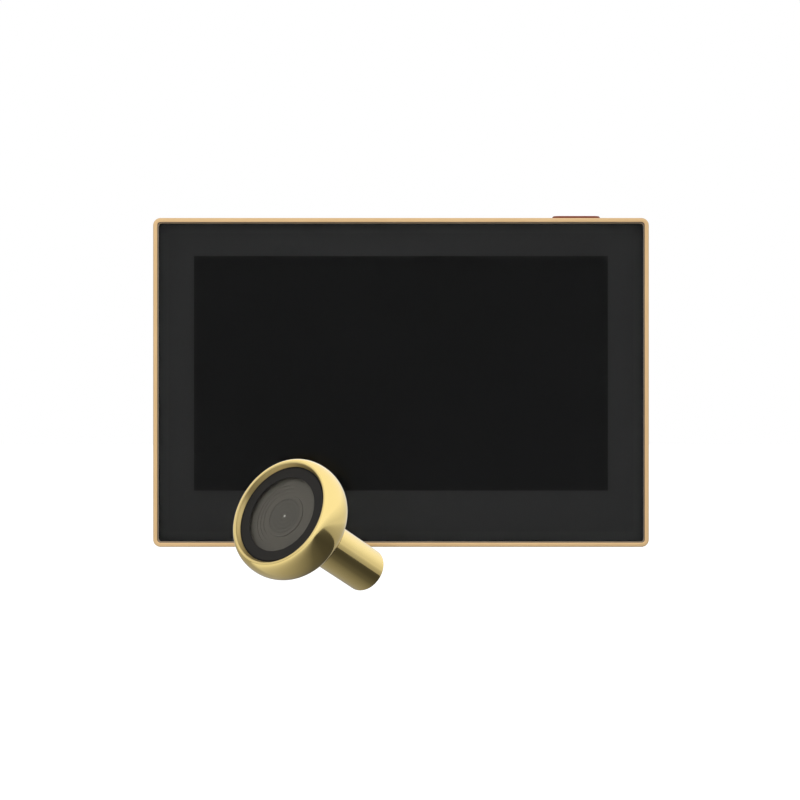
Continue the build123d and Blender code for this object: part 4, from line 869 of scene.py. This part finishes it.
# The room: a pale floor, a white background and soft studio light
def level_plane(name, reach, height):
    """A level square that reaches equally far from the middle on all sides."""
    work = bmesh.new()
    corners = [(-reach, -reach), (reach, -reach), (reach, reach), (-reach, reach)]
    work.faces.new([work.verts.new((x, y, height)) for x, y in corners])
    mesh = bpy.data.meshes.new(name)
    work.to_mesh(mesh)
    work.free()
    plane = bpy.data.objects.new(name, mesh)
    bpy.context.scene.collection.objects.link(plane)
    return plane


def floor_finish():
    """Matt white floor that keeps the object's shadow and shows white to the camera."""
    surface = Surface("studio_floor", (0.86, 0.86, 0.86), 0.9)
    grain = surface.put(grain_group, Grain_Scale=120.0, Cloud_Scale=3.0)
    surface.tint(grain["Cloud"], (0.88, 0.88, 0.88), 0.5)
    surface.roughen(grain["Grain"], 0.85, 0.95)
    path = surface.tree.nodes.new("ShaderNodeLightPath")
    glow = math_node(surface.tree, "MULTIPLY", path.outputs["Is Camera Ray"], floor_glow)
    surface.tree.links.new(glow, surface.shader.inputs["Emission Strength"])
    surface.shader.inputs["Emission Color"].default_value = (1.0, 1.0, 1.0, 1.0)
    return surface.material


floor = level_plane("studio_floor", room_size, floor_height)
floor.data.materials.append(floor_finish())

# A glowing sheet over the floor, no lamp, which shows only in reflections and so paints light and
# shade into the metal:
#  it glows light on the left, near black to the right, with a painted shadow of the object behind
#  it, and grey again past a sharp edge that crosses it aslant. Tones are glow strengths from 0 for
#  black to 1 for white, and places are in metres.
cloth_reach = 12.0
cloth_lift = 0.01
cloth_edge, edge_blend, edge_slant = 0.48, 0.01, 0.875
grey_end, near_grey, far_grey = 2.5, 0.38, 0.72
painted_shadow_start, painted_shadow_end, painted_shadow_tone = -0.05, 0.12, 0.38
tone_slant = 0.15
cloth_glow_tones = [
    (-cloth_reach, 0.72), (-0.42, 0.85), (-0.30, 0.74), (-0.19, 0.60), (-0.12, 0.47),
    (-0.05, 0.39), (0.0, 0.27), (0.04, 0.17), (0.09, 0.115), (0.15, 0.075), (0.25, 0.055),
    (cloth_reach, 0.05),
]


def glowing_cloth():
    """The cloth's own glow, laid out by its table of tones and by its slanting edge, and dimmed
    behind the object as a painted shadow.
    """
    surface = Surface("glowing_cloth", (0.0, 0.0, 0.0), 1.0, Specular_IOR_Level=0.0)
    tree = surface.tree
    split = tree.nodes.new("ShaderNodeSeparateXYZ")
    tree.links.new(surface.vector, split.inputs[0])
    across, deep = split.outputs["X"], split.outputs["Y"]
    along = ramp(tree, math_node(tree, "MULTIPLY_ADD", deep, tone_slant, across),
                 -cloth_reach, cloth_reach)
    tones = tree.nodes.new("ShaderNodeValToRGB")
    tree.links.new(along, tones.inputs["Fac"])
    stops = tones.color_ramp.elements
    for index, (place, level) in enumerate(cloth_glow_tones):
        share = (place + cloth_reach) / (2 * cloth_reach)
        stop = stops[index] if index < 1 else stops.new(share)
        stop.position = share
        stop.color = (level, level, level, 1.0)
    stops.remove(stops[-1])
    past = math_node(tree, "MULTIPLY_ADD", deep, edge_slant, across)
    beyond = ramp(tree, past, cloth_edge, cloth_edge + edge_blend)
    grey = ramp(tree, past, cloth_edge, grey_end, near_grey, far_grey)
    # Painted shadow: the glow dims behind the object
    with_painted_shadow = math_node(tree, "MINIMUM", tones.outputs["Color"],
                       ramp(tree, deep, painted_shadow_start, painted_shadow_end, 1.0, painted_shadow_tone))
    dark = math_node(tree, "MULTIPLY", with_painted_shadow, math_node(tree, "SUBTRACT", 1.0, beyond))
    tone = math_node(tree, "MULTIPLY_ADD", grey, beyond, dark)
    tree.links.new(tone, surface.shader.inputs["Emission Strength"])
    surface.shader.inputs["Emission Color"].default_value = (1.0, 1.0, 1.0, 1.0)
    return surface.material


# The glowing sheet, no lamp, seen only in reflections, where it paints light and shade
cloth = level_plane("glowing_cloth", cloth_reach, floor_height + cloth_lift)
cloth.data.materials.append(glowing_cloth())
cloth.visible_camera = False
cloth.visible_diffuse = False
cloth.visible_shadow = False
cloth.visible_transmission = False

# The photographed metal shows the room and not the monitor behind it, so reflections leave out
# every piece but the camera unit's
for body, members in frame["record"]["behaviour"]["bodies"].items():
    for name in members:
        nodes[name].visible_glossy = body == "camera_unit"
for piece in (cover, print_edge, bolt_head, bolt_thread):
    piece.visible_glossy = False


# How bright the world is for diffuse light, and in reflections at the horizon, above and far left
diffuse_level = 0.62
horizon_level, top_level, left_level = 0.72, 1.06, 0.72


def build_world():
    """White to the camera, a plain level for diffuse light, and for metal and glass a studio
    that is brighter above and darker far left."""
    world = bpy.data.worlds.new("studio")
    bpy.context.scene.world = world
    world.use_nodes = True
    tree = world.node_tree
    background = tree.nodes["Background"]
    coordinates = tree.nodes.new("ShaderNodeTexCoord")
    split = tree.nodes.new("ShaderNodeSeparateXYZ")
    tree.links.new(coordinates.outputs["Generated"], split.inputs[0])
    path = tree.nodes.new("ShaderNodeLightPath")
    direct = path.outputs["Is Camera Ray"]
    bounced = math_node(tree, "MAXIMUM", path.outputs["Is Glossy Ray"],
                        path.outputs["Is Transmission Ray"])
    upward = ramp(tree, split.outputs["Z"], 0.0, 0.3, horizon_level, top_level)
    sideways = ramp(tree, split.outputs["X"], -0.9, -0.3, left_level, 1.0)
    studio = math_node(tree, "MULTIPLY", upward, sideways)
    level = math_node(tree, "MULTIPLY_ADD", bounced, studio, direct)
    diffuse = math_node(tree, "SUBTRACT", 1.0, math_node(tree, "MAXIMUM", bounced, direct))
    strength = math_node(tree, "MULTIPLY_ADD", diffuse, diffuse_level, level)
    background.inputs["Color"].default_value = (1.0, 1.0, 1.0, 1.0)
    tree.links.new(strength, background.inputs["Strength"])


build_world()


# Name, place, width, height and power of each soft lamp
soft_lamps = [
    ("key_light", (-0.9, -1.0, 1.2), 1.6, 1.6, 14.0),
    ("fill_light", (1.4, -0.9, 0.5), 1.2, 1.2, 8.0),
    ("back_light", (0.2, 1.5, 1.1), 1.4, 1.0, 10.0),
]


def soft_light(name, place, width, height, power):
    """A rectangular lamp that looks at the object's middle and doesn't show in reflections."""
    lamp = bpy.data.lights.new(name, "AREA")
    lamp.shape = "RECTANGLE"
    lamp.size = width
    lamp.size_y = height
    lamp.energy = power
    light = bpy.data.objects.new(name, lamp)
    light.location = place
    light.rotation_euler = (-Vector(place)).to_track_quat("-Z", "Y").to_euler()
    light.visible_glossy = False
    bpy.context.scene.collection.objects.link(light)


for lamp_row in soft_lamps:
    soft_light(*lamp_row)

# The photograph's view
camera_data = bpy.data.cameras.new("photo_view")
camera_data.lens = lens_length
camera_data.sensor_width = sensor_width
camera_data.clip_start = 0.01
camera_data.clip_end = 100.0
camera = bpy.data.objects.new("photo_view", camera_data)
camera.location = eye
camera.rotation_euler = (pi / 2, 0, 0)
bpy.context.scene.collection.objects.link(camera)
bpy.context.scene.camera = camera
bpy.context.scene.view_settings.view_transform = "Standard"
